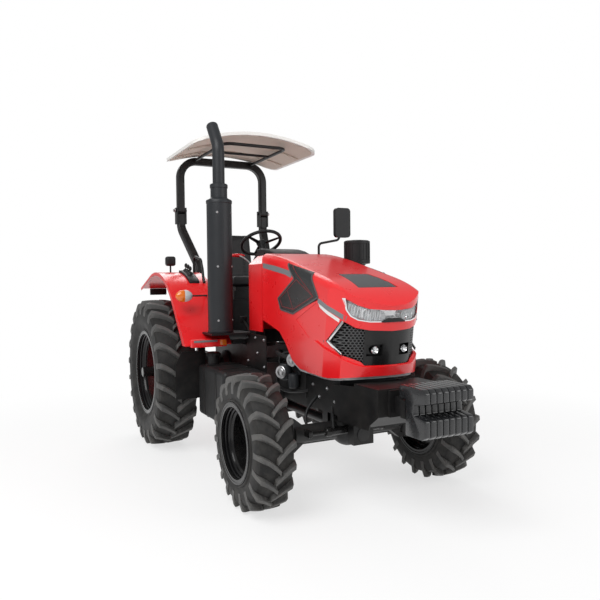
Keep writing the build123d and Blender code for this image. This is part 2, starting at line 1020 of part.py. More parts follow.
bumper = hood_form(-bumper_stand, hood_rear, hood_skirt) & side_outline(bumper_side)
facets = hood_layer(0, facet_depth) & side_outline(side_facet)
with BuildPart() as hood:
    add(hood_form(0, hood_rear, hood_skirt))
    add(bumper)
    add(hood_form(sheet, hollow_rear, hollow_skirt), mode=Mode.SUBTRACT)
    add(facets, mode=Mode.SUBTRACT)
    add(nose_outline(lamp_half, lamp_start), mode=Mode.SUBTRACT)
    add(nose_outline(grille_half, grille_start), mode=Mode.SUBTRACT)
    add(side_outline(side_mesh), mode=Mode.SUBTRACT)
    add(top_outline(), mode=Mode.SUBTRACT)
save(hood.part, "hood")

# Panels seated behind the hood's openings: a pierced grille, side and top meshes, and the lamps
lining = hood_layer(sheet + seat_gap, sheet + seat_gap + panel_wall)
with BuildPart() as grille:
    add(lining & nose_outline(grille_half, grille_start, panel_rim))
    with BuildSketch(cross_view(grille_start, 0, fog_z + 30)):
        with HexLocations(mesh_pitch / 2, 15, 7):
            RegularPolygon(mesh_hole, 6)
        with Locations((fog_y, -30), (-fog_y, -30)):
            Circle(fog_radius + mesh_pitch, mode=Mode.SUBTRACT)
    extrude(amount=nose_cut_depth, mode=Mode.SUBTRACT)
    for sign in (-1, 1):
        rod(
            at(grille_start, sign * fog_y, fog_z),
            at(grille_start + nose_cut_depth, sign * fog_y, fog_z),
            fog_radius + seat_gap,
            mode=Mode.SUBTRACT,
        )
save(grille.part, "grille")

with BuildPart() as hood_meshes:
    add(lining & side_outline(side_mesh, panel_rim))
    add(lining & top_outline(panel_rim))
save(hood_meshes.part, "hood_meshes")

with BuildPart() as headlamps:
    add(hood_layer(lamp_inset, lamp_inset + lamp_depth) & nose_outline(lamp_half, lamp_start, -seat_gap))
    for sign in (-1, 1):
        rod(at(fog_rear, sign * fog_y, fog_z), at(fog_front, sign * fog_y, fog_z), fog_radius)
save(headlamps.part, "headlamps")

# Fixed cowl behind the hood, with the firewall that closes it
with BuildPart() as cowl:
    with BuildSketch(cross_view(cowl_rear)):
        with BuildLine():
            Polyline(
                (-hood_half, cowl_foot),
                (-hood_half, cowl_shoulder),
                (-hood_half + cowl_chamfer, cowl_top),
                (hood_half - cowl_chamfer, cowl_top),
                (hood_half, cowl_shoulder),
                (hood_half, cowl_foot),
                close=True,
            )
        make_face()
    extrude(amount=hood_rear - cowl_gap - cowl_rear)
    block(
        (cowl_rear + sheet, hood_rear),
        (-hood_half + sheet, hood_half - sheet),
        (cowl_foot - 60, cowl_top - 100),
        mode=Mode.SUBTRACT,
    )
save(cowl.part, "rear_cowl")

with BuildPart() as radiator:
    block(
        (radiator_rear, radiator_rear + radiator_depth),
        (-radiator_half, radiator_half),
        (frame_top + seat_gap, radiator_top),
    )
save(radiator.part, "radiator")

# Platform, dash and steering column
with BuildPart() as platform:
    block((floor_rear, floor_front), (-floor_half, floor_half), (floor_bottom, floor_top))
    block((floor_rear - riser_wall, floor_rear), (-floor_half, floor_half), (floor_bottom, deck_z))
    block((deck_rear, floor_rear), (-deck_half, deck_half), (deck_z, deck_z + deck_wall))
save(platform.part, "platform")

tilt = radians(wheel_tilt)
column_dir = Vector(-sin(tilt), 0, cos(tilt))
wheel_point = Vector(*at(*wheel_centre))
with BuildPart() as dash:
    prism(
        (
            (cowl_rear - seat_gap, floor_top),
            (cowl_rear - 210, floor_top),
            (cowl_rear - 230, dash_top - 290),
            (cowl_rear - 330, dash_top - 190),
            (cowl_rear - 330, dash_top - 120),
            (cowl_rear - 180, dash_top),
            (cowl_rear - seat_gap, dash_top),
        ),
        side_view,
        dash_half,
        both=True,
    )
    hub_base = wheel_point - column_dir * 40
    rod(tuple(wheel_point - column_dir * 330), tuple(hub_base), column_radius)
save(dash.part, "dash")

with BuildPart() as steering_wheel:
    wheel_plane = Plane(origin=tuple(wheel_point), z_dir=column_dir, x_dir=(0, 1, 0))
    with BuildSketch(Plane(origin=tuple(wheel_point), x_dir=wheel_plane.x_dir, z_dir=wheel_plane.y_dir)):
        with Locations((wheel_rim_radius, 0)):
            Circle(wheel_grip_radius)
    revolve(axis=Axis(tuple(wheel_point), tuple(column_dir)))
    rod(tuple(hub_base + column_dir * seat_gap), tuple(wheel_point + column_dir * 6), 42)
    for turn in (90, 210, 330):
        spoke = wheel_plane.x_dir * cos(radians(turn)) + wheel_plane.y_dir * sin(radians(turn))
        rod(
            tuple(wheel_point + spoke * 30 - column_dir * 10),
            tuple(wheel_point + spoke * wheel_rim_radius),
            9,
        )
save(steering_wheel.part, "steering_wheel")

# Seat
with BuildPart() as seat_base:
    block(
        (seat_rear + 10, seat_front - 40),
        (-seat_base_half, seat_base_half),
        (deck_z + deck_wall + seat_gap, seat_base_top - 40),
    )
    block(
        (seat_rear + 40, seat_front - 70),
        (-seat_base_half + 30, seat_base_half - 30),
        (seat_base_top - 40, seat_base_top),
    )
save(seat_base.part, "seat_base")

with BuildPart() as seat_cushion:
    block((seat_rear, seat_front), (-seat_half, seat_half), (seat_base_top + seat_gap, seat_top))
    fillet(seat_cushion.edges(), seat_edge)
save(seat_cushion.part, "seat_cushion")

with BuildPart() as seat_back:
    prism(
        (
            (seat_rear - seat_gap, seat_base_top + 20),
            (seat_rear - back_depth, seat_base_top + 20),
            (seat_rear - back_depth - back_lean, back_top - 20),
            (seat_rear - back_depth - 5, back_top),
            (seat_rear - seat_gap, seat_top + 10),
        ),
        side_view,
        back_half,
        both=True,
    )
    fillet(seat_back.edges(), back_edge)
save(seat_back.part, "seat_back")

corner = Vector(*arch_corner)
front_way = (Vector(fender_front, fender_foot + 10) - corner).normalized()
rear_way = (Vector(*fender_tail) - corner).normalized()
half_angle = radians(front_way.get_angle(rear_way) / 2)
arch_centre = corner + (front_way + rear_way).normalized() * (arch_radius / sin(half_angle))


def arch_height(station):
    return arch_centre.Y + sqrt(arch_radius**2 - (station - arch_centre.X) ** 2)


# Fenders: an arch with an inner wall and a turned-down outer lip
def fender_outline(inset, low):
    with BuildSketch(side_view) as face:
        with BuildLine():
            arch = FilletPolyline(
                (fender_front - inset, fender_foot + 10 - low),
                (arch_corner[0], arch_corner[1] - inset * 1.15),
                (fender_tail[0], fender_tail[1] - inset),
                radius=arch_radius - inset,
            )
            foot_z = fender_foot - low
            Polyline(arch @ 1, (fender_tail[0] + 89, foot_z), (fender_front - inset, foot_z), arch @ 0)
        make_face()
    return face.sketch


with BuildPart() as cavity:
    add(extrude(fender_outline(sheet, 60), amount=-(fender_outer - sheet), mode=Mode.PRIVATE))
    add(extrude(fender_outline(fender_lip, 60), amount=-(fender_outer + 20), mode=Mode.PRIVATE))
    block((-1400, 1400), (-10, fender_inner + sheet), (800, 1900), mode=Mode.SUBTRACT)

with BuildPart() as fender:
    add(extrude(fender_outline(0, 0), amount=-fender_outer, mode=Mode.PRIVATE))
    block((-1400, 1400), (-10, fender_inner), (800, 1900), mode=Mode.SUBTRACT)
    add(cavity.part, mode=Mode.SUBTRACT)
save_pair(fender.part, "fender")

# Roll bar: fixed lower posts, and a hoop that folds back on pins
half_tube = hoop_tube / 2
with BuildPart() as rops_lower:
    with BuildLine() as post_route:
        FilletPolyline(
            at(post_foot_station, pad_y, pad_top + 30),
            at(post_foot_station, pad_y, post_bend_low),
            at(hoop_station, hoop_half, post_bend_high),
            at(hoop_station, hoop_half, hinge_z - half_tube - play),
            radius=180,
        )
    with BuildSketch(Plane(origin=post_route.line @ 0, x_dir=(1, 0, 0), z_dir=(0, 0, 1))):
        RectangleRounded(hoop_tube, hoop_tube, 14)
    sweep(path=post_route.line)
    block(
        (post_foot_station - half_tube, pad_half),
        (pad_y - half_tube, pad_y + half_tube),
        (pad_top, pad_top + 30),
    )
    for sign in (-1, 1):
        ear_face = hoop_half + sign * (half_tube + play)
        ear_back = ear_face + sign * hinge_plate
        ear_stations = (hoop_station - half_tube, hoop_station + half_tube)
        block(ear_stations, sorted((ear_face, ear_back)), (hinge_z - 150, hinge_z + 30))
        weld_face = hoop_half + sign * (half_tube - 4)
        block(ear_stations, sorted((weld_face, ear_back)), (hinge_z - 150, hinge_z - half_tube - 10))
    rod(
        at(hoop_station, hoop_half - half_tube - play - hinge_plate - 10, hinge_z),
        at(hoop_station, hoop_half + half_tube + play + hinge_plate + 10, hinge_z),
        hinge_pin_radius,
    )
    mirror(about=Plane.XZ)
save(rops_lower.part, "rops_posts")

with BuildPart() as rops_hoop:
    with BuildLine() as hoop_route:
        FilletPolyline(
            at(hoop_station, -hoop_half, hinge_z),
            at(hoop_station, -hoop_half, hoop_top),
            at(hoop_station, hoop_half, hoop_top),
            at(hoop_station, hoop_half, hinge_z),
            radius=hoop_corner,
        )
    with BuildSketch(Plane(origin=hoop_route.line @ 0, x_dir=(1, 0, 0), z_dir=(0, 0, 1))):
        RectangleRounded(hoop_tube, hoop_tube, 14)
    sweep(path=hoop_route.line)
    for sign in (-1, 1):
        rod(
            at(hoop_station, sign * hoop_half - half_tube, hinge_z),
            at(hoop_station, sign * hoop_half + half_tube, hinge_z),
            half_tube - play,
        )
        rod(
            at(hoop_station, sign * hoop_half - half_tube - play, hinge_z),
            at(hoop_station, sign * hoop_half + half_tube + play, hinge_z),
            hinge_pin_radius + seat_gap,
            mode=Mode.SUBTRACT,
        )
save(rops_hoop.part, "rops_hoop")

# Canopy: one curved roof on a tube frame that the hoop carries, trimmed to its rounded plan
canopy_trim = 30.0
with BuildPart() as canopy:
    with BuildSketch(cross_view(canopy_rear - canopy_trim)):
        with BuildLine():
            edge_half = canopy_half + canopy_trim
            edge_z = canopy_crown - canopy_drop
            over = ThreePointArc((-edge_half, edge_z), (0, canopy_crown), (edge_half, edge_z))
            under = ThreePointArc(
                (-edge_half, edge_z - canopy_wall),
                (0, canopy_crown - canopy_wall),
                (edge_half, edge_z - canopy_wall),
            )
            Line(over @ 0, under @ 0)
            Line(over @ 1, under @ 1)
        make_face()
    extrude(amount=canopy_front - canopy_rear + 2 * canopy_trim)
    with BuildSketch(Plane(origin=at((canopy_front + canopy_rear) / 2, 0, canopy_crown + canopy_trim))):
        RectangleRounded(canopy_front - canopy_rear, 2 * canopy_half, canopy_corner)
    extrude(amount=-canopy_drop - canopy_wall - 2 * canopy_trim, mode=Mode.INTERSECT)
save(canopy.part, "canopy")

tube_y = 330.0
tube_z = hoop_top + half_tube - canopy_tube
with BuildPart() as canopy_frame:
    bent_bar(
        (
            at(hoop_station + half_tube, -tube_y, tube_z - 20),
            at(430, -tube_y, tube_z - 20),
            at(430, tube_y, tube_z - 20),
            at(hoop_station + half_tube, tube_y, tube_z - 20),
        ),
        90,
        canopy_tube,
    )
    rod(at(0, -tube_y, tube_z - 20), at(0, tube_y, tube_z - 20), canopy_tube - 3)
save(canopy_frame.part, "canopy_frame")

# Exhaust on the right and air intake on the left
with BuildPart() as muffler:
    muffler_end = at(exhaust_station, exhaust_y, muffler_top)
    rod(at(exhaust_station, exhaust_y, muffler_bottom), muffler_end, muffler_radius)
    rod(muffler_end, at(exhaust_station, exhaust_y, sleeve_top), sleeve_radius)
save(muffler.part, "muffler")

with BuildPart() as exhaust_pipe:
    with BuildLine() as pipe_route:
        FilletPolyline(
            at(exhaust_station, exhaust_y, sleeve_top),
            at(exhaust_station, exhaust_y, pipe_bend),
            at(exhaust_station - 150, exhaust_y, pipe_tip),
            radius=170,
        )
    with BuildSketch(Plane(origin=pipe_route.line @ 0, z_dir=(0, 0, 1))):
        Circle(pipe_radius)
        Circle(pipe_radius - pipe_wall, mode=Mode.SUBTRACT)
    sweep(path=pipe_route.line)
save(exhaust_pipe.part, "exhaust_pipe")

with BuildPart() as intake:
    bent_bar(
        (
            at(intake_station, engine_half, intake_elbow_z - 90),
            at(intake_station, intake_y, intake_elbow_z - 90),
            at(intake_station, intake_y, bowl_bottom + 10),
        ),
        80,
        intake_pipe_radius,
    )
    rod(at(intake_station, intake_y, bowl_bottom), at(intake_station, intake_y, bowl_top), bowl_radius)
save(intake.part, "air_intake")

# Side shields, tank, step and mirror
with BuildPart() as side_shields:
    for sign in (-1, 1):
        faces = sorted((sign * shield_y, sign * (shield_y + shield_wall)))
        block((shield_rear, shield_front), faces, (shield_bottom, shield_top))
        for station in (engine_rear + 30, engine_rear + 140):
            rod(
                at(station, sign * engine_half, shield_stay_z),
                at(station, sign * shield_y, shield_stay_z),
                shield_stay_radius,
            )
    plate_front = exhaust_station + muffler_plate_half
    block(
        (exhaust_station - muffler_plate_half, plate_front),
        (exhaust_y - muffler_radius - 15, -shield_y - shield_wall),
        (muffler_bottom - muffler_plate, muffler_bottom),
    )
    block(
        (shield_rear, plate_front),
        (-shield_y - shield_wall, -shield_y),
        (shield_top - 40, muffler_bottom),
    )
save(side_shields.part, "side_shields")

with BuildPart() as tank:
    block((tank_rear, tank_front), (-tank_outer, -tank_inner), (tank_bottom, tank_top))
    fillet(tank.edges(), tank_edge)
    neck_top = at(filler_station, -filler_y, tank_top + filler_height)
    rod(at(filler_station, -filler_y, tank_top - 12), neck_top, filler_radius)
    rod(neck_top, at(filler_station, -filler_y, tank_top + filler_height + cap_height), cap_radius)
save(tank.part, "fuel_tank")

with BuildPart() as tank_hangers:
    for station in (tank_rear + 160, tank_rear + 440):
        block(
            (station, station + tank_hanger_width),
            (-tank_inner, -gearbox_half),
            (tank_hanger_z, tank_hanger_z + tank_hanger_height),
        )
    prism(
        (
            (-mud_outer, mud_bottom),
            (-mud_outer, mud_top - 110),
            (-mud_outer + 58, mud_top),
            (-mud_inner, mud_top),
            (-mud_inner, mud_bottom),
        ),
        cross_view(mud_station),
        mud_wall,
    )
    block(
        (mud_station + mud_wall, tank_rear),
        (-tank_outer + 30, -tank_outer + 60),
        (tank_hanger_z + 40, tank_hanger_z + 100),
    )
save(tank_hangers.part, "tank_hangers")

with BuildPart() as step:
    for station in (step_rear, step_front - step_plate):
        block(
            (station, station + step_plate),
            (floor_half - 40, step_outer),
            (step_bottom, step_bottom + 40),
        )
        prism(
            (
                (step_inner, step_bottom),
                (step_outer, step_bottom),
                (step_outer, step_bottom + 40),
                (step_shelf, floor_bottom),
                (step_inner, floor_bottom),
            ),
            cross_view(station),
            step_plate,
        )
    for height, reach in ((step_bottom + 10, step_outer - 10), (step_bottom + 260, step_outer - 110)):
        block((step_rear, step_front), (step_shelf, reach), (height, height + tread_depth))
    block((step_rear, step_front), (step_inner, step_shelf), (floor_bottom - 12, floor_bottom))
save(step.part, "left_step")

with BuildPart() as mirror_head:
    with Locations(at(mirror_station, mirror_y, mirror_z)):
        Box(mirror_depth, mirror_width, mirror_height)
    fillet(mirror_head.edges().filter_by(Axis.X), mirror_edge)

with BuildPart() as mirror_left:
    bent_bar(
        (
            at(mirror_station + 20, mirror_foot_y, cowl_top),
            at(mirror_station + 20, mirror_foot_y, mirror_arm_z),
            at(mirror_station + 10, mirror_y - 40, mirror_arm_z + 40),
            at(mirror_station, mirror_y - 15, mirror_z - 10),
        ),
        40,
        mirror_arm_radius,
    )
    add(mirror_head.part)
save(mirror_left.part, "mirror")

# Lamps and rails on the fenders
with BuildPart() as fender_lamps:
    for sign in (-1, 1):
        station, y, z = indicator
        rod(
            at(station - indicator_half, sign * y, z),
            at(station + indicator_half, sign * y, z),
            indicator_radius,
        )
        bent_bar(
            (
                at(station, sign * (y - 45), z),
                at(station - indicator_half, sign * (y - 220), z),
                at(station - 198, sign * (fender_inner + 100), z),
            ),
            20,
            indicator_arm_radius,
        )
        station, y, z = work_lamp
        block(
            (station - work_lamp_depth / 2, station + work_lamp_depth / 2),
            sorted((sign * (y - work_lamp_half), sign * (y + work_lamp_half))),
            (z - work_lamp_half, z + work_lamp_half),
        )
        rod(
            at(station, sign * y, arch_height(station) + 3),
            at(station, sign * y, z - work_lamp_half + 5),
            work_stalk_radius,
        )
        lamp_top = fender_tail[1] - sheet - seat_gap
        block(
            (fender_tail[0] - 16, fender_tail[0] + 9),
            sorted((sign * tail_lamp_inner, sign * tail_lamp_outer)),
            (lamp_top - tail_lamp_height, lamp_top),
        )
save(fender_lamps.part, "fender_lamps")

with BuildPart() as rails:
    for sign in (-1, 1):
        bent_bar(
            (
                at(rail_rear, sign * rail_y, arch_height(rail_rear) + 3),
                at(rail_rear, sign * rail_y, rail_top),
                at(rail_front - 90, sign * rail_y, rail_top - 40),
                at(rail_front, sign * rail_y, arch_height(rail_front) + 12),
            ),
            rail_bend,
            rail_radius,
        )
save(rails.part, "grab_rails")

# Rear linkage: lower links, lift arms and the rods between them form a parallelogram
link_start = Vector(*at(*link_pivot))
link_eye = Vector(*at(-rear_reach + link_eye_radius, link_end_y, link_pivot[2] - link_drop))
rod_share = rod_back / (rear_reach - link_eye_radius + link_pivot[0])
rod_pin = (link_pivot[0] - rod_back, link_pivot[2] - link_drop * rod_share)
arm_pin = (rockshaft[0] + rod_pin[0] - link_pivot[0], rockshaft[2] + rod_pin[1] - link_pivot[2])
with BuildPart() as lower_links:
    rod(tuple(link_start), tuple(link_eye), link_width / 2)
    for point in (link_start, link_eye):
        rod(
            (point.X, point.Y - link_eye_half, point.Z),
            (point.X, point.Y + link_eye_half, point.Z),
            link_eye_radius,
        )
        rod(
            (point.X, point.Y - 30, point.Z),
            (point.X, point.Y + 30, point.Z),
            link_ball_radius,
            mode=Mode.SUBTRACT,
        )
    pin_y = link_pivot[1] + (link_end_y - link_pivot[1]) * rod_share
    rod(at(rod_pin[0], pin_y - 16, rod_pin[1]), at(rod_pin[0], pin_y + 16, rod_pin[1]), 28)
    rod(
        at(rod_pin[0], pin_y - 30, rod_pin[1]),
        at(rod_pin[0], pin_y + 30, rod_pin[1]),
        lift_pin_radius + play,
        mode=Mode.SUBTRACT,
    )
    mirror(about=Plane.XZ)
save(lower_links.part, "lower_links")

with BuildPart() as lift_arms:
    for sign in (-1, 1):
        inner = sign * (arm_y - 38)
        rod(at(rockshaft[0], inner, rockshaft[2]), at(rockshaft[0], sign * arm_y, rockshaft[2]), 60)
        prism(
            (
                (rockshaft[0] + 10, rockshaft[2] + 55),
                (arm_pin[0], arm_pin[1] + 30),
                (arm_pin[0] - 30, arm_pin[1]),
                (arm_pin[0], arm_pin[1] - 30),
                (rockshaft[0] + 10, rockshaft[2] - 55),
            ),
            side_view.offset(-sign * (arm_y - 20)),
            18,
            both=True,
        )
    rod(
        at(rockshaft[0], -arm_y - play, rockshaft[2]),
        at(rockshaft[0], arm_y + play, rockshaft[2]),
        rockshaft_radius + seat_gap,
        mode=Mode.SUBTRACT,
    )
    rod(
        at(arm_pin[0], -arm_y - play, arm_pin[1]),
        at(arm_pin[0], arm_y + play, arm_pin[1]),
        lift_pin_radius + seat_gap,
        mode=Mode.SUBTRACT,
    )
save(lift_arms.part, "lift_arms")

with BuildPart() as lift_rods:
    for sign in (-1, 1):
        rod_y = sign * (pin_y + lift_rod_out)
        rod(at(arm_pin[0], rod_y, arm_pin[1]), at(rod_pin[0], rod_y, rod_pin[1]), lift_rod_radius)
        for station, height, inner in ((*arm_pin, arm_y - 36), (*rod_pin, pin_y - 18)):
            rod(at(station, rod_y - 14, height), at(station, rod_y + 14, height), 24)
            rod(at(station, sign * inner, height), at(station, rod_y, height), lift_pin_radius)
save(lift_rods.part, "lift_rods")

with BuildPart() as drawbar:
    block(
        (drawbar_end, 300),
        (-drawbar_half, drawbar_half),
        (drawbar_z, drawbar_z + drawbar_depth),
    )
    rod(
        at(drawbar_end + drawbar_hole_back, 0, drawbar_z - 5),
        at(drawbar_end + drawbar_hole_back, 0, drawbar_z + drawbar_depth + 5),
        drawbar_hole_radius,
        mode=Mode.SUBTRACT,
    )
    block((160, 260), (-60, 60), (drawbar_z + drawbar_depth, gearbox_bottom))
    block((-200, -110), (-60, 60), (drawbar_z + drawbar_depth, gearbox_bottom))
save(drawbar.part, "drawbar")
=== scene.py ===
import json
from math import cos, pi, radians, sin, sqrt

import bmesh
import bpy
from mathutils import Matrix, Vector
from mathutils.bvhtree import BVHTree


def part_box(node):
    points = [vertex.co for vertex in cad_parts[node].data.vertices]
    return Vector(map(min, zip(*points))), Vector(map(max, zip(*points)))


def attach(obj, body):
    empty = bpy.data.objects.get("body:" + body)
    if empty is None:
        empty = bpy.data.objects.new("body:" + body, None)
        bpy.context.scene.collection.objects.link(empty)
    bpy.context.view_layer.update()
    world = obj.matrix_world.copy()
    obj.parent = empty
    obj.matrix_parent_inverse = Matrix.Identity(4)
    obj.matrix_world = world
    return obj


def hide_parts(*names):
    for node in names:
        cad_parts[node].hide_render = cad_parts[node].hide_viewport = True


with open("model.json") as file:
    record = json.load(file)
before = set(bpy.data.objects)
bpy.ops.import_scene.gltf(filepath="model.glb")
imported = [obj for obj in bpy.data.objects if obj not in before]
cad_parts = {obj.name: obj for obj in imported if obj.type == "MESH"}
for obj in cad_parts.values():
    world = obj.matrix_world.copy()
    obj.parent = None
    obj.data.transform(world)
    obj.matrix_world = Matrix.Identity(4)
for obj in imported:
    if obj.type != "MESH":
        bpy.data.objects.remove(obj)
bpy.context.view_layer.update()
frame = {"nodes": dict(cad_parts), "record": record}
nodes = frame["nodes"]
rearAxleX = -1.09
print("frame loaded:", len(nodes), "nodes")


# camera at the photograph's viewpoint
cameraFacts = {
    "place": (4.9987, -2.4142, 1.5842),
    "yaw": 2.6704,
    "pitch": -0.0298,
    "roll": -0.0104,
    "lens": 36.87,
}


def makeCamera(facts):
    yaw, pitch, roll = facts["yaw"], facts["pitch"], facts["roll"]
    look = Vector((cos(pitch) * cos(yaw), cos(pitch) * sin(yaw), sin(pitch)))
    right = Vector((sin(yaw), -cos(yaw), 0))
    up = right.cross(look)
    tiltedRight = right * cos(roll) + up * sin(roll)
    tiltedUp = up * cos(roll) - right * sin(roll)
    data = bpy.data.cameras.new("photoCamera")
    data.lens = facts["lens"]
    data.sensor_width = 36.0
    data.clip_end = 200.0
    camera = bpy.data.objects.new("photoCamera", data)
    bpy.context.scene.collection.objects.link(camera)
    turn = Matrix((tiltedRight, tiltedUp, -look)).transposed().to_4x4()
    camera.matrix_world = Matrix.Translation(facts["place"]) @ turn
    bpy.context.scene.camera = camera


makeCamera(cameraFacts)
bpy.context.scene.view_settings.view_transform = "Standard"


# shader tools
def newNode(tree, kind, inputs=None, **values):
    # attributes first, since some of them change the sockets
    node = tree.nodes.new(kind)
    for key, value in values.items():
        setattr(node, key, value)
    for label, value in (inputs or {}).items():
        node.inputs[label].default_value = value
    return node


def wire(tree, *pairs):
    for outlet, inlet in pairs:
        tree.links.new(outlet, inlet)


def startGroup(name, inputs, outputs):
    # a node group whose sockets are all floats
    tree = bpy.data.node_groups.new(name, "ShaderNodeTree")
    for label, default in inputs.items():
        socket = tree.interface.new_socket(name=label, in_out="INPUT", socket_type="NodeSocketFloat")
        socket.default_value = default
    for label in outputs:
        tree.interface.new_socket(name=label, in_out="OUTPUT", socket_type="NodeSocketFloat")
    return tree, newNode(tree, "NodeGroupInput"), newNode(tree, "NodeGroupOutput")


def makeSurfaceGroup():
    # fine grain for bump, and broad patches for colour and gloss
    tree, inlet, outlet = startGroup(
        "surfaceGrain", {"Grain Scale": 400.0, "Patch Scale": 6.0}, ("Grain", "Patch"),
    )
    place = newNode(tree, "ShaderNodeTexCoord")
    for label, settings in (("Grain", {"Detail": 4.0}), ("Patch", {"Detail": 6.0, "Roughness": 0.62})):
        texture = newNode(tree, "ShaderNodeTexNoise", settings)
        wire(
            tree,
            (place.outputs["Object"], texture.inputs["Vector"]),
            (inlet.outputs[f"{label} Scale"], texture.inputs["Scale"]),
            (texture.outputs["Fac"], outlet.inputs[label]),
        )
    return tree


def makeDustGroup():
    # pale road dust in speckles, thicker low down
    tree, inlet, outlet = startGroup(
        "roadDust", {"Amount": 0.2, "Top Height": 1.0, "Dust Scale": 9.0}, ("Mask",),
    )
    place = newNode(tree, "ShaderNodeTexCoord")
    split = newNode(tree, "ShaderNodeSeparateXYZ")
    fall = newNode(tree, "ShaderNodeMapRange", {"From Min": 0.0, "To Min": 1.0, "To Max": 0.25})
    speckle = newNode(tree, "ShaderNodeTexNoise", {"Detail": 8.0, "Roughness": 0.7})
    spread = newNode(tree, "ShaderNodeMapRange", {"From Min": 0.38, "From Max": 0.75})
    joined = newNode(tree, "ShaderNodeMath", operation="MULTIPLY")
    scaled = newNode(tree, "ShaderNodeMath", operation="MULTIPLY", use_clamp=True)
    wire(
        tree,
        (place.outputs["Object"], split.inputs[0]),
        (split.outputs["Z"], fall.inputs["Value"]),
        (inlet.outputs["Top Height"], fall.inputs["From Max"]),
        (place.outputs["Object"], speckle.inputs["Vector"]),
        (inlet.outputs["Dust Scale"], speckle.inputs["Scale"]),
        (speckle.outputs["Fac"], spread.inputs["Value"]),
        (fall.outputs["Result"], joined.inputs[0]),
        (spread.outputs["Result"], joined.inputs[1]),
        (joined.outputs[0], scaled.inputs[0]),
        (inlet.outputs["Amount"], scaled.inputs[1]),
        (scaled.outputs[0], outlet.inputs["Mask"]),
    )
    return tree


surfaceGroup = makeSurfaceGroup()
dustGroup = makeDustGroup()
dustColor = (0.34, 0.31, 0.27, 1.0)
plainLook = {
    "metallic": 0.0, "coat": 0.0, "coatRough": 0.05, "specular": 0.5, "alpha": 1.0, "glow": 0.0,
    "shift": 0.12, "roughShift": 0.06, "grainScale": 400.0, "patchScale": 6.0, "bump": 0.1, "bumpDepth": 0.001,
    "dust": 0.0, "dustTop": 1.0, "dustScale": 9.0,
}


def makeFinish(name, own):
    # base colour with patches and dust, gloss with patches, bump with grain
    look = {**plainLook, **own}
    color, shift = look["color"], look["shift"]
    material = bpy.data.materials.new(name)
    material.use_nodes = True
    tree = material.node_tree
    shader = tree.nodes["Principled BSDF"]
    for label, key in (("Metallic", "metallic"), ("Coat Weight", "coat"), ("Coat Roughness", "coatRough"),
                       ("Specular IOR Level", "specular"), ("Alpha", "alpha"), ("Emission Strength", "glow")):
        shader.inputs[label].default_value = look[key]
    shader.inputs["Emission Color"].default_value = (*color, 1.0)
    grain = newNode(tree, "ShaderNodeGroup", {
        "Grain Scale": look["grainScale"], "Patch Scale": look["patchScale"],
    }, node_tree=surfaceGroup)
    tint = newNode(tree, "ShaderNodeMix", {
        "A": tuple(c * (1 - shift) for c in color) + (1.0,),
        "B": tuple(min(1.0, c * (1 + shift)) for c in color) + (1.0,),
    }, data_type="RGBA")
    dust = newNode(tree, "ShaderNodeGroup", {
        "Amount": look["dust"], "Top Height": look["dustTop"], "Dust Scale": look["dustScale"],
    }, node_tree=dustGroup)
    cover = newNode(tree, "ShaderNodeMix", {"B": dustColor}, data_type="RGBA")
    gloss = newNode(tree, "ShaderNodeMapRange", {
        "To Min": look["rough"] - look["roughShift"], "To Max": look["rough"] + look["roughShift"],
    })
    bump = newNode(tree, "ShaderNodeBump", {"Strength": look["bump"], "Distance": look["bumpDepth"]})
    wire(
        tree,
        (grain.outputs["Patch"], tint.inputs["Factor"]),
        (dust.outputs["Mask"], cover.inputs["Factor"]),
        (tint.outputs["Result"], cover.inputs["A"]),
        (cover.outputs["Result"], shader.inputs["Base Color"]),
        (grain.outputs["Patch"], gloss.inputs["Value"]),
        (gloss.outputs["Result"], shader.inputs["Roughness"]),
        (grain.outputs["Grain"], bump.inputs["Height"]),
        (bump.outputs["Normal"], shader.inputs["Normal"]),
    )
    return material


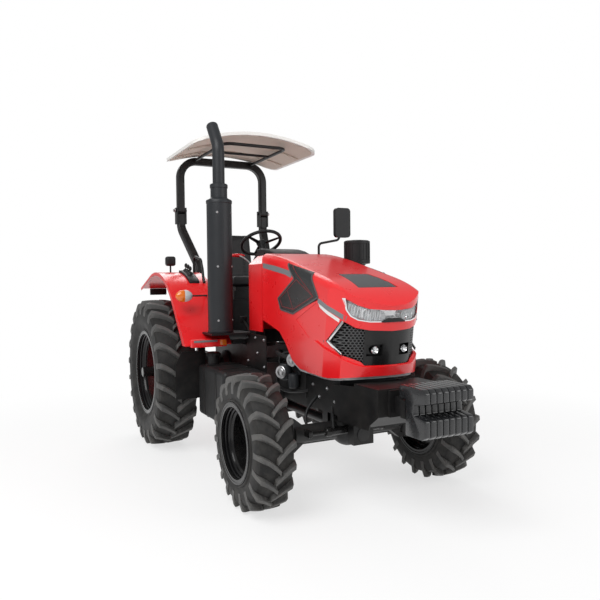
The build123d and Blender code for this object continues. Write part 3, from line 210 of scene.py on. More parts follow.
finishes = {
    "redPaint": {
        "color": (0.80, 0.010, 0.014), "rough": 0.28, "coat": 0.35, "coatRough": 0.12, "shift": 0.05,
        "grainScale": 260.0, "bump": 0.03, "roughShift": 0.03, "dust": 0.02, "dustTop": 1.1,
    },
    "blackGloss": {
        "color": (0.006, 0.006, 0.0065), "rough": 0.24, "coat": 0.12, "specular": 0.3, "grainScale": 300.0,
        "bump": 0.04, "dust": 0.05, "dustTop": 1.4,
    },
    "blackFrame": {
        "color": (0.007, 0.007, 0.0075), "rough": 0.4, "specular": 0.32, "grainScale": 500.0, "bump": 0.12,
        "dust": 0.08, "dustTop": 1.2,
    },
    "castBlack": {
        "color": (0.014, 0.0142, 0.015), "rough": 0.46, "specular": 0.4, "grainScale": 240.0, "bump": 0.35,
        "dust": 0.1, "dustTop": 1.1,
    },
    "plainPlastic": {
        "color": (0.011, 0.0115, 0.0125), "rough": 0.46, "specular": 0.32, "grainScale": 900.0, "bump": 0.2,
        "dust": 0.06, "dustTop": 1.8,
    },
    "tyreRubber": {
        "color": (0.014, 0.014, 0.014), "rough": 0.6, "specular": 0.3, "grainScale": 300.0, "bump": 0.25,
        "shift": 0.25, "patchScale": 9.0, "dust": 0.12, "dustTop": 1.6, "dustScale": 14.0, "roughShift": 0.1,
    },
    "sootPaint": {
        "color": (0.019, 0.021, 0.024), "rough": 0.44, "specular": 0.35, "grainScale": 420.0, "bump": 0.12,
        "shift": 0.18,
    },
    "roofWhite": {
        "color": (0.8, 0.79, 0.76), "rough": 0.42, "grainScale": 500.0, "bump": 0.12, "shift": 0.03,
    },
    "seatVinyl": {
        "color": (0.014, 0.014, 0.015), "rough": 0.46, "specular": 0.35, "grainScale": 700.0, "bump": 0.35,
        "bumpDepth": 0.0015,
    },
    "bareSteel": {
        "color": (0.5, 0.5, 0.51), "rough": 0.34, "metallic": 1.0, "grainScale": 300.0, "bump": 0.08,
        "roughShift": 0.12, "shift": 0.1,
    },
    "chrome": {
        "color": (0.82, 0.82, 0.83), "rough": 0.1, "metallic": 1.0, "grainScale": 300.0, "bump": 0.01,
        "roughShift": 0.03, "shift": 0.02,
    },
    "greyTrim": {
        "color": (0.19, 0.195, 0.205), "rough": 0.38, "grainScale": 600.0, "bump": 0.08, "shift": 0.05,
    },
    # beige for the underside of the white roof: painted shade
    "beigeLining": {
        "color": (0.62, 0.54, 0.46), "rough": 0.6, "grainScale": 300.0, "bump": 0.15, "shift": 0.08,
    },
    "stripeWhite": {"color": (0.78, 0.77, 0.76), "rough": 0.3, "bump": 0.02, "shift": 0.02},
    "clearLens": {"color": (0.75, 0.77, 0.78), "rough": 0.08, "roughShift": 0.02, "bump": 0.0, "alpha": 0.2},
    "lampFrost": {"color": (0.62, 0.64, 0.66), "rough": 0.16, "bump": 0.03, "coat": 0.5, "shift": 0.05},
    "amberLens": {"color": (0.75, 0.16, 0.005), "rough": 0.16, "bump": 0.04, "coat": 0.6, "shift": 0.05},
    "redLens": {"color": (0.42, 0.006, 0.006), "rough": 0.16, "bump": 0.04, "coat": 0.6, "shift": 0.05},
    "rimBlack": {
        "color": (0.005, 0.005, 0.0055), "rough": 0.22, "coat": 0.06, "specular": 0.26, "grainScale": 300.0,
        "bump": 0.03,
    },
    "combGrey": {"color": (0.06, 0.061, 0.063), "rough": 0.3, "bump": 0.02},
    "meshDark": {
        "color": (0.022, 0.024, 0.025), "rough": 0.26, "specular": 0.4, "bump": 0.3, "grainScale": 900.0,
    },
    "smokeTrim": {"color": (0.075, 0.077, 0.08), "rough": 0.34, "bump": 0.05},
    "meshGrey": {"color": (0.13, 0.135, 0.14), "rough": 0.5, "bump": 0.1},
    "paleTrim": {"color": (0.4, 0.41, 0.42), "rough": 0.4, "bump": 0.05, "shift": 0.06},
    # lugs: a lighter grey rubber than the carcass, with more dust
    "lugRubber": {
        "color": (0.075, 0.075, 0.074), "rough": 0.56, "specular": 0.4, "grainScale": 300.0, "bump": 0.25,
        "shift": 0.3, "patchScale": 12.0, "dust": 0.2, "dustTop": 1.8, "dustScale": 16.0, "roughShift": 0.1,
    },
    "redShade": {"color": (0.22, 0.012, 0.014), "rough": 0.4, "bump": 0.05},
    "weightBlack": {
        "color": (0.013, 0.0135, 0.015), "rough": 0.27, "coat": 0.45, "coatRough": 0.1, "grainScale": 240.0,
        "bump": 0.12,
    },
    # rear wheel centres: the red paint with a painted glow, so they read lit where they sit in the shade of
    # the rims
    "wheelRedPaintedGlow": {"color": (0.80, 0.010, 0.014), "rough": 0.3, "bump": 0.05, "glow": 0.42},
}
made = {name: makeFinish(name, look) for name, look in finishes.items()}
print("finishes made:", len(made))

slotFinish = {
    "red_paint": "redPaint",
    "tyre_rubber": "tyreRubber",
    "rim_black": "blackGloss",
    "roof_white": "roofWhite",
    "seat_vinyl": "seatVinyl",
    "black_plastic": "plainPlastic",
    "dark_metal": "sootPaint",
    "cast_black": "castBlack",
    "lamp_clear": "blackGloss",
    "steel": "blackFrame",
    "black_paint": "blackFrame",
}
for part in frame["record"]["subparts"]:
    carried = nodes[part["node"]]
    carried.data.materials.clear()
    carried.data.materials.append(made[slotFinish[part["material_slot"]]])
# rear wheel centres take the red with the painted glow
for side in ("left", "right"):
    nodes[f"rear_wheel_centre_{side}"].data.materials[0] = made["wheelRedPaintedGlow"]
print("carried nodes finished")


# floor and light
floorFacts = {"half": 30.0, "near": 2.2, "far": 5.0, "shade": 0.97, "least": 0.66}


def makeFloor(facts):
    mesh = bmesh.new()
    bmesh.ops.create_grid(mesh, x_segments=1, y_segments=1, size=facts["half"])
    data = bpy.data.meshes.new("studioFloor")
    mesh.to_mesh(data)
    mesh.free()
    floor = bpy.data.objects.new("studioFloor", data)
    bpy.context.scene.collection.objects.link(floor)
    material = bpy.data.materials.new("studioPaper")
    material.use_nodes = True
    tree = material.node_tree
    shader = tree.nodes["Principled BSDF"]
    shader.inputs["Roughness"].default_value = 0.9
    shader.inputs["Specular IOR Level"].default_value = 0.1
    shader.inputs["Base Color"].default_value = (facts["shade"],) * 3 + (1.0,)
    glow = newNode(tree, "ShaderNodeEmission")
    place = newNode(tree, "ShaderNodeTexCoord")
    reach = newNode(tree, "ShaderNodeVectorMath", operation="LENGTH")
    fade = newNode(tree, "ShaderNodeMapRange", {
        "From Min": facts["near"], "From Max": facts["far"], "To Min": facts["least"],
    }, interpolation_type="SMOOTHSTEP")
    path = newNode(tree, "ShaderNodeLightPath")
    seen = newNode(tree, "ShaderNodeMath", operation="MAXIMUM")
    share = newNode(tree, "ShaderNodeMath", operation="MULTIPLY")
    blend = newNode(tree, "ShaderNodeMixShader")
    wire(
        tree,
        (place.outputs["Object"], reach.inputs[0]),
        (reach.outputs["Value"], fade.inputs["Value"]),
        (path.outputs["Is Camera Ray"], seen.inputs[0]),
        (path.outputs["Is Glossy Ray"], seen.inputs[1]),
        (fade.outputs["Result"], share.inputs[0]),
        (seen.outputs[0], share.inputs[1]),
        (share.outputs[0], blend.inputs[0]),
        (shader.outputs[0], blend.inputs[1]),
        (glow.outputs[0], blend.inputs[2]),
        (blend.outputs[0], tree.nodes["Material Output"].inputs["Surface"]),
    )
    data.materials.append(material)


def makeWorld(level):
    # white to the camera, softer to the tractor
    world = bpy.data.worlds.new("studioWorld")
    world.use_nodes = True
    tree = world.node_tree
    white = (1.0, 1.0, 1.0, 1.0)
    soft = tree.nodes["Background"]
    soft.inputs["Color"].default_value = white
    soft.inputs["Strength"].default_value = level
    plain = newNode(tree, "ShaderNodeBackground", {"Color": white})
    path = newNode(tree, "ShaderNodeLightPath")
    blend = newNode(tree, "ShaderNodeMixShader")
    wire(
        tree,
        (path.outputs["Is Camera Ray"], blend.inputs[0]),
        (soft.outputs[0], blend.inputs[1]),
        (plain.outputs[0], blend.inputs[2]),
        (blend.outputs[0], tree.nodes["World Output"].inputs["Surface"]),
    )
    bpy.context.scene.world = world


studioLights = {
    "keyPanel": {"place": (3.5, -5.0, 7.0), "size": 6.0, "power": 480.0},
    "fillPanel": {"place": (6.5, 4.5, 4.0), "size": 5.0, "power": 150.0},
    "backPanel": {"place": (-6.0, 1.0, 6.0), "size": 5.0, "power": 180.0},
}


def makeLights(lights):
    for name, facts in lights.items():
        data = bpy.data.lights.new(name, "AREA")
        data.shape = "DISK"
        data.size = facts["size"]
        data.energy = facts["power"]
        lamp = bpy.data.objects.new(name, data)
        lamp.location = facts["place"]
        aim = Vector((0.0, 0.0, 1.0)) - Vector(facts["place"])
        lamp.rotation_euler = aim.to_track_quat("-Z", "Y").to_euler()
        bpy.context.scene.collection.objects.link(lamp)


makeFloor(floorFacts)
makeWorld(0.4)
makeLights(studioLights)
print("studio ready")


# mesh tools
def finishPiece(mesh, name, body, finish, smooth=40.0, replaces=()):
    bmesh.ops.recalc_face_normals(mesh, faces=mesh.faces)
    data = bpy.data.meshes.new(name)
    mesh.to_mesh(data)
    mesh.free()
    piece = bpy.data.objects.new(name, data)
    bpy.context.scene.collection.objects.link(piece)
    for one in (finish if isinstance(finish, tuple) else (finish,)):
        data.materials.append(made[one])
    data.shade_smooth()
    data.set_sharp_from_angle(angle=radians(smooth))
    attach(piece, body)
    if replaces:
        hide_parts(*replaces)


def joinMesh(mesh, extra):
    loose = bpy.data.meshes.new("loose")
    extra.to_mesh(loose)
    extra.free()
    mesh.from_mesh(loose)
    bpy.data.meshes.remove(loose)


def easeEdges(mesh, edges, offset, segments=2):
    bmesh.ops.bevel(
        mesh, geom=edges, offset=offset, offset_type="OFFSET", affect="EDGES", segments=segments, profile=0.5,
        material=-1,
    )


def growFaces(mesh, faces):
    # a second layer of the faces, walled to the first, as its verts
    grown = bmesh.ops.extrude_face_region(mesh, geom=faces, use_keep_orig=True)
    return [item for item in grown["geom"] if isinstance(item, bmesh.types.BMVert)]


def cutMesh(mesh, spot, normal, **how):
    bmesh.ops.bisect_plane(
        mesh, geom=mesh.verts[:] + mesh.edges[:] + mesh.faces[:], plane_co=spot, plane_no=normal, **how,
    )


def spinLine(mesh, points, axis, steps, merge):
    verts = [mesh.verts.new(point) for point in points]
    edges = [mesh.edges.new(pair) for pair in zip(verts, verts[1:])]
    bmesh.ops.spin(
        mesh, geom=verts + edges, cent=(0, 0, 0), axis=axis, angle=2 * pi, steps=steps, use_merge=True,
        use_duplicate=False,
    )
    bmesh.ops.remove_doubles(mesh, verts=mesh.verts, dist=merge)


def addSpun(mesh, profile, place, steps=28):
    # a profile of run and reach, spun about its own x axis and set in place
    turned = bmesh.new()
    spinLine(turned, [(run, 0.0, reach) for run, reach in profile], (1, 0, 0), steps, 0.00005)
    bmesh.ops.transform(turned, matrix=place, verts=turned.verts)
    joinMesh(mesh, turned)


def facing(spot, direction):
    # x axis along direction, at spot
    turn = Vector(direction).to_track_quat("X", "Z").to_matrix().to_4x4()
    return Matrix.Translation(spot) @ turn


def addBolt(mesh, spot, direction, size):
    # washer and bevelled hexagon head
    place = facing(spot, direction)
    addSpun(mesh, ((0.0, size * 1.45), (size * 0.22, size * 1.45), (size * 0.22, 0.0)), place, 16)
    head = bmesh.new()
    bmesh.ops.create_cone(
        head, cap_ends=True, segments=6, radius1=size, radius2=size, depth=size * 0.9,
        matrix=Matrix.Translation((size * 0.65, 0, 0)) @ Matrix.Rotation(pi / 2, 4, "Y"),
    )
    easeEdges(head, [e for e in head.edges if all(v.co.x > size for v in e.verts)], size * 0.16, 1)
    bmesh.ops.transform(head, matrix=place, verts=head.verts)
    joinMesh(mesh, head)


def addBox(mesh, low, high, edge=0.004, segments=2):
    box = bmesh.new()
    size = [b - a for a, b in zip(low, high)]
    middle = [(a + b) / 2 for a, b in zip(low, high)]
    bmesh.ops.create_cube(box, size=1.0)
    bmesh.ops.scale(box, vec=size, verts=box.verts)
    easeEdges(box, box.edges[:], edge, segments)
    bmesh.ops.translate(box, vec=middle, verts=box.verts)
    joinMesh(mesh, box)


def addPlate(mesh, corners, depth, edge=0.0, segments=2):
    # a flat outline drawn out along depth, with its edges eased
    plate = bmesh.new()
    face = plate.faces.new([plate.verts.new(corner) for corner in corners])
    bmesh.ops.translate(plate, vec=depth, verts=growFaces(plate, [face]))
    bmesh.ops.recalc_face_normals(plate, faces=plate.faces)
    if edge:
        easeEdges(plate, plate.edges[:], edge, segments)
    joinMesh(mesh, plate)


def addTube(mesh, points, radius):
    # a smooth tube through a few points
    data = bpy.data.curves.new("tubeLine", "CURVE")
    data.dimensions = "3D"
    data.bevel_depth = radius
    data.bevel_resolution = 4
    data.use_fill_caps = True
    spline = data.splines.new("NURBS")
    spline.points.add(len(points) - 1)
    for spot, point in zip(spline.points, points):
        spot.co = (*point, 1.0)
    spline.order_u = 3
    spline.use_endpoint_u = True
    line = bpy.data.objects.new("tubeLine", data)
    drawn = bpy.data.meshes.new_from_object(line)
    mesh.from_mesh(drawn)
    bpy.data.objects.remove(line)
    bpy.data.curves.remove(data)
    bpy.data.meshes.remove(drawn)


def station(value):
    return rearAxleX + value


def at(along, across, up):
    # a point by its station, in metres ahead of the rear axle
    return station(along), across, up


def atSide(sign, points):
    return [at(along, sign * across, up) for along, across, up in points]


def makeBolts(name, body, spots, size):
    # spots: pairs of a point and the way the head looks
    mesh = bmesh.new()
    for spot, out in spots:
        addBolt(mesh, spot, out, size)
    finishPiece(mesh, name, body, "bareSteel", 35.0)


sideSigns = (("left", 1), ("right", -1))


# tyres: a spun carcass with curved bar lugs, made at the origin and set on each wheel
wheelPlaces = {"rear": (0.0, 0.880, 0.710), "front": (2.116, 0.778, 0.473)}
tyreFacts = {
    "rear": {
        "radius": 0.710, "width": 0.375, "rim": 0.408, "rimWidth": 0.312, "lugs": 22, "lugHeight": 0.040,
        "lugTop": 0.036, "lugFoot": 0.056,
    },
    "front": {
        "radius": 0.473, "width": 0.272, "rim": 0.282, "rimWidth": 0.284, "lugs": 19, "lugHeight": 0.032,
        "lugTop": 0.030, "lugFoot": 0.046,
    },
}
crownDrop, crownPower = 0.030, 2.2
lugBend = {
    "centreSlope": 1.15, "edgeSlope": 0.35, "overlap": 0.014, "steps": 7, "ease": 0.09, "sink": 0.012,
    "crownFall": 0.010, "shoulder": 0.86, "footFall": 0.060, "tipFall": 0.052, "flare": 0.22,
}
flangeHeight, flangeWall = 0.025, 0.011


def carcassRadius(facts, offset):
    # the casing under the lugs: a low crown
    half = facts["width"] / 2
    return facts["radius"] - facts["lugHeight"] - crownDrop * (abs(offset) / half) ** crownPower


def addCarcass(mesh, facts):
    half = facts["width"] / 2
    bead = facts["rim"] - flangeHeight
    beadHalf = facts["rimWidth"] / 2 - flangeWall
    shoulder = carcassRadius(facts, half * 0.9)
    middle = bead + 0.5 * (shoulder - bead)
    side = [
        *((half * share, carcassRadius(facts, half * share)) for share in (0.0, 0.35, 0.65)),
        (half * 0.88, shoulder),
        (half * 0.955, shoulder - 0.022),
        (half * 0.985, middle + 0.030),
        (half * 0.985, middle),
        (half * 0.95, middle - 0.034),
        (beadHalf + 0.004, facts["rim"] + 0.018),
        (beadHalf + 0.009, facts["rim"] + 0.013),
        (beadHalf + 0.007, facts["rim"] + 0.004),
        (beadHalf - 0.001, facts["rim"] + 0.001),
        (beadHalf - 0.001, bead + 0.001),
        (beadHalf - 0.030, bead + 0.001),
    ]
    points = [(-y, r) for y, r in reversed(side[1:])] + side
    spinLine(mesh, [(0.0, y, r) for y, r in points], (0, 1, 0), 88, 0.0002)


def bendLug(vert, facts):
    # a unit cube's corner taken to its place on the crown
    half = facts["width"] / 2 + lugBend["overlap"]
    along, high = vert.co.y + 0.5, vert.co.z + 0.5              # along: 0 at the crown, 1 over the shoulder
    offset = half * along - lugBend["overlap"]
    ease = lugBend["centreSlope"] - lugBend["edgeSlope"]
    trail = half * (lugBend["centreSlope"] * along - ease * along * along / 2)
    foot = carcassRadius(facts, offset) - lugBend["sink"]
    tip = facts["radius"] - lugBend["crownFall"] * along ** 2
    drop = max(0.0, (along - lugBend["shoulder"]) / (1 - lugBend["shoulder"]))
    foot -= lugBend["footFall"] * drop
    tip -= lugBend["tipFall"] * drop * drop
    reach = foot + (tip - foot) * high
    wide = facts["lugFoot"] + (facts["lugTop"] - facts["lugFoot"]) * high
    turn = (vert.co.x * wide * (1.0 + lugBend["flare"] * along) - trail) / facts["radius"]
    return reach * sin(turn), offset, reach * cos(turn)


def addLugs(mesh, facts):
    bar = bmesh.new()
    bmesh.ops.create_cube(bar, size=1.0)
    lengthways = [e for e in bar.edges if abs(e.verts[0].co.y - e.verts[1].co.y) > 0.5]
    bmesh.ops.subdivide_edges(bar, edges=lengthways, cuts=lugBend["steps"], use_grid_fill=True)
    topRim = [e for e in bar.edges if all(v.co.z > 0.4 for v in e.verts) and len(e.link_faces) == 2
              and e.calc_face_angle(0) > 0.5]
    easeEdges(bar, topRim, lugBend["ease"], 1)
    for vert in bar.verts:
        vert.co = bendLug(vert, facts)
    loose = bpy.data.meshes.new("lugBar")
    bar.to_mesh(loose)
    bar.free()
    pitch = 2 * pi / facts["lugs"]
    for side in (1, -1):
        for index in range(facts["lugs"]):
            first, firstFace = len(mesh.verts), len(mesh.faces)
            mesh.from_mesh(loose)
            mesh.verts.ensure_lookup_table()
            mesh.faces.ensure_lookup_table()
            fresh = mesh.verts[first:]
            for face in mesh.faces[firstFace:]:
                face.material_index = 1
            if side < 0:
                bmesh.ops.scale(mesh, vec=(1, -1, 1), verts=fresh)
            angle = index * pitch + (pitch / 2 if side < 0 else 0.0)
            bmesh.ops.rotate(mesh, cent=(0, 0, 0), matrix=Matrix.Rotation(angle, 3, "Y"), verts=fresh)
    bpy.data.meshes.remove(loose)


def makeTyres():
    for end, facts in tyreFacts.items():
        along, across, up = wheelPlaces[end]
        for side, sign in sideSigns:
            mesh = bmesh.new()
            addCarcass(mesh, facts)
            addLugs(mesh, facts)
            bmesh.ops.translate(mesh, vec=at(along, sign * across, up), verts=mesh.verts)
            finishPiece(
                mesh, f"{end}Tyre.{side}", f"{end}_wheel_{side}", ("tyreRubber", "lugRubber"),
                24.0, (f"{end}_tyre_{side}",),
            )


makeTyres()
print("tyres made")

# hood skin: the nose arc, its chamfers and the flat sides, in metres from the rear axle
hoodSkin = {
    "noseFoot": 2.678, "lean": 0.14, "bottom": 0.948, "cornerBack": 0.150, "cornerHalf": 0.300,
    "half": 0.335, "chamfer": 0.180, "panelDepth": 0.008, "shoulder": 0.150, "core": (1.700, 1.250),
}


def noseLine(z, inset):
    return hoodSkin["noseFoot"] + hoodSkin["lean"] * (z - hoodSkin["bottom"]) - inset


def noseArc(inset):
    half = hoodSkin["cornerHalf"] - inset
    back = hoodSkin["cornerBack"]
    return half, (half * half + back * back) / (2 * back)


def onNose(inset, side=1):
    # front view: across and up, set back on the nose
    def place(across, up):
        nose = noseLine(up, inset)
        half, radius = noseArc(inset)
        flat = hoodSkin["half"] - inset
        reach = min(abs(across), flat)
        if reach <= half:
            along = nose - radius + sqrt(radius * radius - reach * reach)
        else:
            share = (reach - half) / (flat - half)
            along = nose - hoodSkin["cornerBack"] - hoodSkin["chamfer"] * share
        return Vector(at(along, side * across, up))
    return place


def onSide(inset, side=1):
    # side view: station and up, set in on the flank
    def place(along, up):
        nose = noseLine(up, inset)
        half, radius = noseArc(inset)
        flat = hoodSkin["half"] - inset
        corner = nose - hoodSkin["cornerBack"]
        start = corner - hoodSkin["chamfer"]
        if along <= start:
            across = flat
        elif along <= corner:
            across = flat + (half - flat) * (along - start) / hoodSkin["chamfer"]
        else:
            run = min(along, nose) - (nose - radius)
            across = sqrt(max(radius * radius - run * run, 0.0))
        return Vector(at(along, side * across, up))
    return place


def skinPatch(mesh, outline, place, thickness, cell):
    # a flat outline cut into cells, laid on a curved skin and given a wall inwards
    patch = bmesh.new()
    patch.faces.new([patch.verts.new((u, 0.0, v)) for u, v in outline])
    for axis, normal in ((0, (1, 0, 0)), (2, (0, 0, 1))):
        low = min(v.co[axis] for v in patch.verts)
        high = max(v.co[axis] for v in patch.verts)
        count = max(1, int((high - low) / cell))
        for index in range(1, count):
            spot = [0.0, 0.0, 0.0]
            spot[axis] = low + (high - low) * index / count
            cutMesh(patch, spot, normal, dist=0.00001)
    for vert in patch.verts:
        vert.co = place(vert.co.x, vert.co.z)
    bmesh.ops.recalc_face_normals(patch, faces=patch.faces)
    coreAlong, coreUp = hoodSkin["core"]
    core = Vector(at(coreAlong, 0.0, coreUp))
    if sum(face.normal.dot(face.calc_center_median() - core) for face in patch.faces) < 0:
        bmesh.ops.reverse_faces(patch, faces=patch.faces)
    patch.normal_update()
    sunk = {tuple(vert.co): vert.co - vert.normal * thickness for vert in patch.verts}
    for vert in growFaces(patch, patch.faces[:]):
        vert.co = sunk[tuple(vert.co)]
    joinMesh(mesh, patch)


def nodeTree(name):
    carrier = bmesh.new()
    carrier.from_mesh(nodes[name].data)
    tree = BVHTree.FromBMesh(carrier)
    carrier.free()
    return tree


def onFlank(side, lift):
    # side view: station and up, pressed onto the hood, or over its opening to the same level
    hood = nodeTree("hood")
    trees = ((hood, 0.0), (nodeTree("hood_meshes"), hoodSkin["panelDepth"]))

    def nearest(along, across, up):
        spot, normal, _, _ = hood.find_nearest(Vector(at(along, side * across, up)))
        return spot, normal, 0.0

    def place(along, up):
        found = []
        for tree, depth in trees:
            spot, normal, _, away = tree.ray_cast(Vector(at(along, side * 2.0, up)), Vector((0, -side, 0)))
            if spot is not None:
                found.append((away, (spot, normal, depth)))
        if found:
            spot, normal, depth = min(found, key=lambda item: item[0])[1]
        else:
            spot, normal, depth = nearest(along, hoodSkin["half"], up)
        if abs(spot.y) < hoodSkin["shoulder"]:
            spot, normal, depth = nearest(along, hoodSkin["shoulder"], up)
        outward = normal if normal.y * side > 0 else -normal
        return spot + outward * (lift + depth)
    return place


def addRibbon(mesh, points, wide, place, thickness, cell):
    # a flat bar from each point to the next
    for start, end in zip(points, points[1:]):
        skinPatch(mesh, stripOutline(start, end, wide), place, thickness, cell)


def stripOutline(start, end, wide):
    # a flat bar from start to end, as four corners
    run = Vector(end) - Vector(start)
    across = Vector((-run.y, run.x)).normalized() * wide / 2
    corners = (Vector(start) + across, Vector(end) + across, Vector(end) - across, Vector(start) - across)
    return [tuple(corner) for corner in corners]


def mirrorHalf(points):
    return list(points) + [(-u, v) for u, v in reversed(points[1:-1])]


# grille: honeycomb wings either side of a closed centre panel with two lamp pockets, and a black sheet behind
# the wings as painted shade
grilleFacts = {
    "wing": ((0.186, 1.258), (0.242, 1.272), (0.303, 1.316), (0.331, 1.172), (0.301, 1.090), (0.206, 1.048),
             (0.186, 1.030)),
    "cell": 0.0200, "bar": 0.0050, "depth": 0.008, "inset": 0.010, "shadeSheet": 0.035, "proud": 0.004,
    "panelHalf": 0.188, "panelTop": (1.250, 1.262), "panelFoot": (1.021, 1.032), "panelCut": 0.178,
    "pocket": (0.068, 0.172, 1.082, 1.160), "pocketDepth": 0.026,
}


def insideOutline(outline, u, v):
    inside = False
    for (u0, v0), (u1, v1) in zip(outline, list(outline[1:]) + [outline[0]]):
        if (v0 > v) != (v1 > v) and u < (u1 - u0) * (v - v0) / (v1 - v0) + u0:
            inside = not inside
    return inside


def addHoneycomb(mesh, outline, place, cell, bar, depth):
    # open hexagon cells over an outline, laid on a skin
    comb = bmesh.new()
    us = [u for u, v in outline]
    vs = [v for u, v in outline]
    row = 0
    v = min(vs)
    while v < max(vs):
        u = min(us) + (cell / 2 if row % 2 else 0.0)
        while u < max(us):
            if insideOutline(outline, u, v):
                ring = bmesh.ops.create_circle(
                    comb, cap_ends=True, radius=cell / sqrt(3), segments=6,
                    matrix=Matrix.Translation((u, 0.0, v)) @ Matrix.Rotation(pi / 2, 4, "X"),
                )
                face = ring["verts"][0].link_faces[0]
                bmesh.ops.inset_region(
                    comb, faces=[face], thickness=bar / 2, use_even_offset=True, use_boundary=True,
                )
                bmesh.ops.delete(comb, geom=[face], context="FACES_ONLY")
            u += cell
        v += cell * sqrt(3) / 2
        row += 1
    for vert in comb.verts:
        vert.co = place(vert.co.x, vert.co.z)
    bmesh.ops.remove_doubles(comb, verts=comb.verts, dist=0.0004)
    bmesh.ops.recalc_face_normals(comb, faces=comb.faces)
    bmesh.ops.solidify(comb, geom=comb.faces[:], thickness=depth)
    joinMesh(mesh, comb)


def makeGrille(facts):
    inset = facts["inset"]
    comb, shadeSheet, panel = bmesh.new(), bmesh.new(), bmesh.new()
    low, high, foot, head = facts["pocket"]
    pocket = ((low, head), (high, head), (high, foot), (low, foot))
    half = facts["panelHalf"]
    topMiddle, topEdge = facts["panelTop"]
    footMiddle, footEdge = facts["panelFoot"]
    for side in (1, -1):
        addHoneycomb(comb, facts["wing"], onNose(inset, side), facts["cell"], facts["bar"], facts["depth"])
        # a black sheet behind each wing: painted shade seen through the cells
        skinPatch(shadeSheet, facts["wing"], onNose(inset + facts["shadeSheet"], side), 0.004, 0.05)
        skin = onNose(inset - facts["proud"], side)
        for strip in (
            ((0.0, topMiddle), (half, topEdge), (half, head), (0.0, head)),
            ((0.0, head), (low, head), (low, foot), (0.0, foot)),
            ((high, head), (half, head), (half, foot), (high, foot)),
            ((0.0, foot), (half, foot), (half, footEdge), (facts["panelCut"], footMiddle), (0.0, footMiddle)),
        ):
            skinPatch(panel, strip, skin, 0.006, 0.03)
        deep = onNose(inset + facts["pocketDepth"], side)
        skinPatch(panel, pocket, deep, 0.004, 0.03)
        for start, end in zip(pocket, pocket[1:] + pocket[:1]):
            wall = (skin(*start), skin(*end), deep(*end), deep(*start))
            panel.faces.new([panel.verts.new(corner) for corner in wall])
    finishPiece(comb, "grilleMesh", "hood", "combGrey", 30.0, ("grille",))
    finishPiece(shadeSheet, "grilleShadeSheet", "hood", "blackGloss", 30.0)
    finishPiece(panel, "grilleCentre", "hood", "blackGloss", 30.0)


makeGrille(grilleFacts)
print("grille made")

# chrome chevrons beside the grille and stripes on the flanks
trimFacts = {
    "chevrons": (((0.307, 1.322), (0.3335, 1.180), 0.020), ((0.3335, 1.168), (0.304, 1.086), 0.020)),
    "greyStripe": ((2.285, 1.452), (2.595, 1.336), 0.034),
    "whiteStripe": ((2.290, 1.424), (2.535, 1.318), 0.024),
    "stand": 0.004, "wall": 0.007, "ease": 0.0015,
}


def makeTrims(facts):
    mesh = bmesh.new()
    for side in (1, -1):
        skin = onNose(-facts["stand"], side)
        for start, end, wide in facts["chevrons"]:
            first, last = skin(*start), skin(*end)
            up = Vector((0.0, side, 0.0)).cross(last - first).normalized()
            if up.x < 0:
                up = -up
            quad = bmesh.new()
            corners = (first, last, last + up * wide, first + up * wide)
            quad.faces.new([quad.verts.new(corner) for corner in corners])
            bmesh.ops.recalc_face_normals(quad, faces=quad.faces)
            bmesh.ops.solidify(quad, geom=quad.faces[:], thickness=facts["wall"])
            easeEdges(quad, quad.edges[:], facts["ease"])
            joinMesh(mesh, quad)
    finishPiece(mesh, "grilleChevrons", "hood", "chrome", 40.0)
    for name, finish in (("greyStripe", "greyTrim"), ("whiteStripe", "stripeWhite")):
        mesh = bmesh.new()
        for side in (1, -1):
            skinPatch(mesh, stripOutline(*facts[name]), onFlank(side, 0.0012), 0.002, 0.03)
        finishPiece(mesh, name, "hood", finish, 30.0)


makeTrims(trimFacts)
print("hood trims made")

# headlamp band: a clear cover over ribbed bright bowls, a chrome line and the dark bump;
# ribFoot and ribHead: a height, and where and how steeply it starts to rise
lampFacts = {
    "half": ((0.0, 1.388), (0.061, 1.390), (0.171, 1.399), (0.236, 1.423), (0.304, 1.472), (0.293, 1.394),
             (0.271, 1.352), (0.231, 1.326), (0.166, 1.314), (0.092, 1.313), (0.050, 1.335), (0.0, 1.335)),
    "bump": ((0.0, 1.337), (0.050, 1.337), (0.094, 1.315), (0.094, 1.309), (0.0, 1.309)),
    "bowls": ((0.085, 1.352, 0.030), (0.155, 1.355, 0.034), (0.222, 1.372, 0.030)),
    "bowlLip": ((0.0, 0.30), (0.010, 0.62), (0.020, 0.86), (0.030, 1.0), (0.032, 1.04), (0.028, 1.06)),
    "inset": 0.006, "backInset": 0.042, "bowlYaw": 0.9, "lineFrom": 4, "lineWide": 0.007,
    "ribs": 13, "ribFirst": 0.100, "ribPitch": 0.0145, "ribWide": 0.004, "ribLean": 0.006,
    "ribFoot": (1.318, 0.17, 0.55), "ribHead": (1.388, 0.15, 0.38),
}


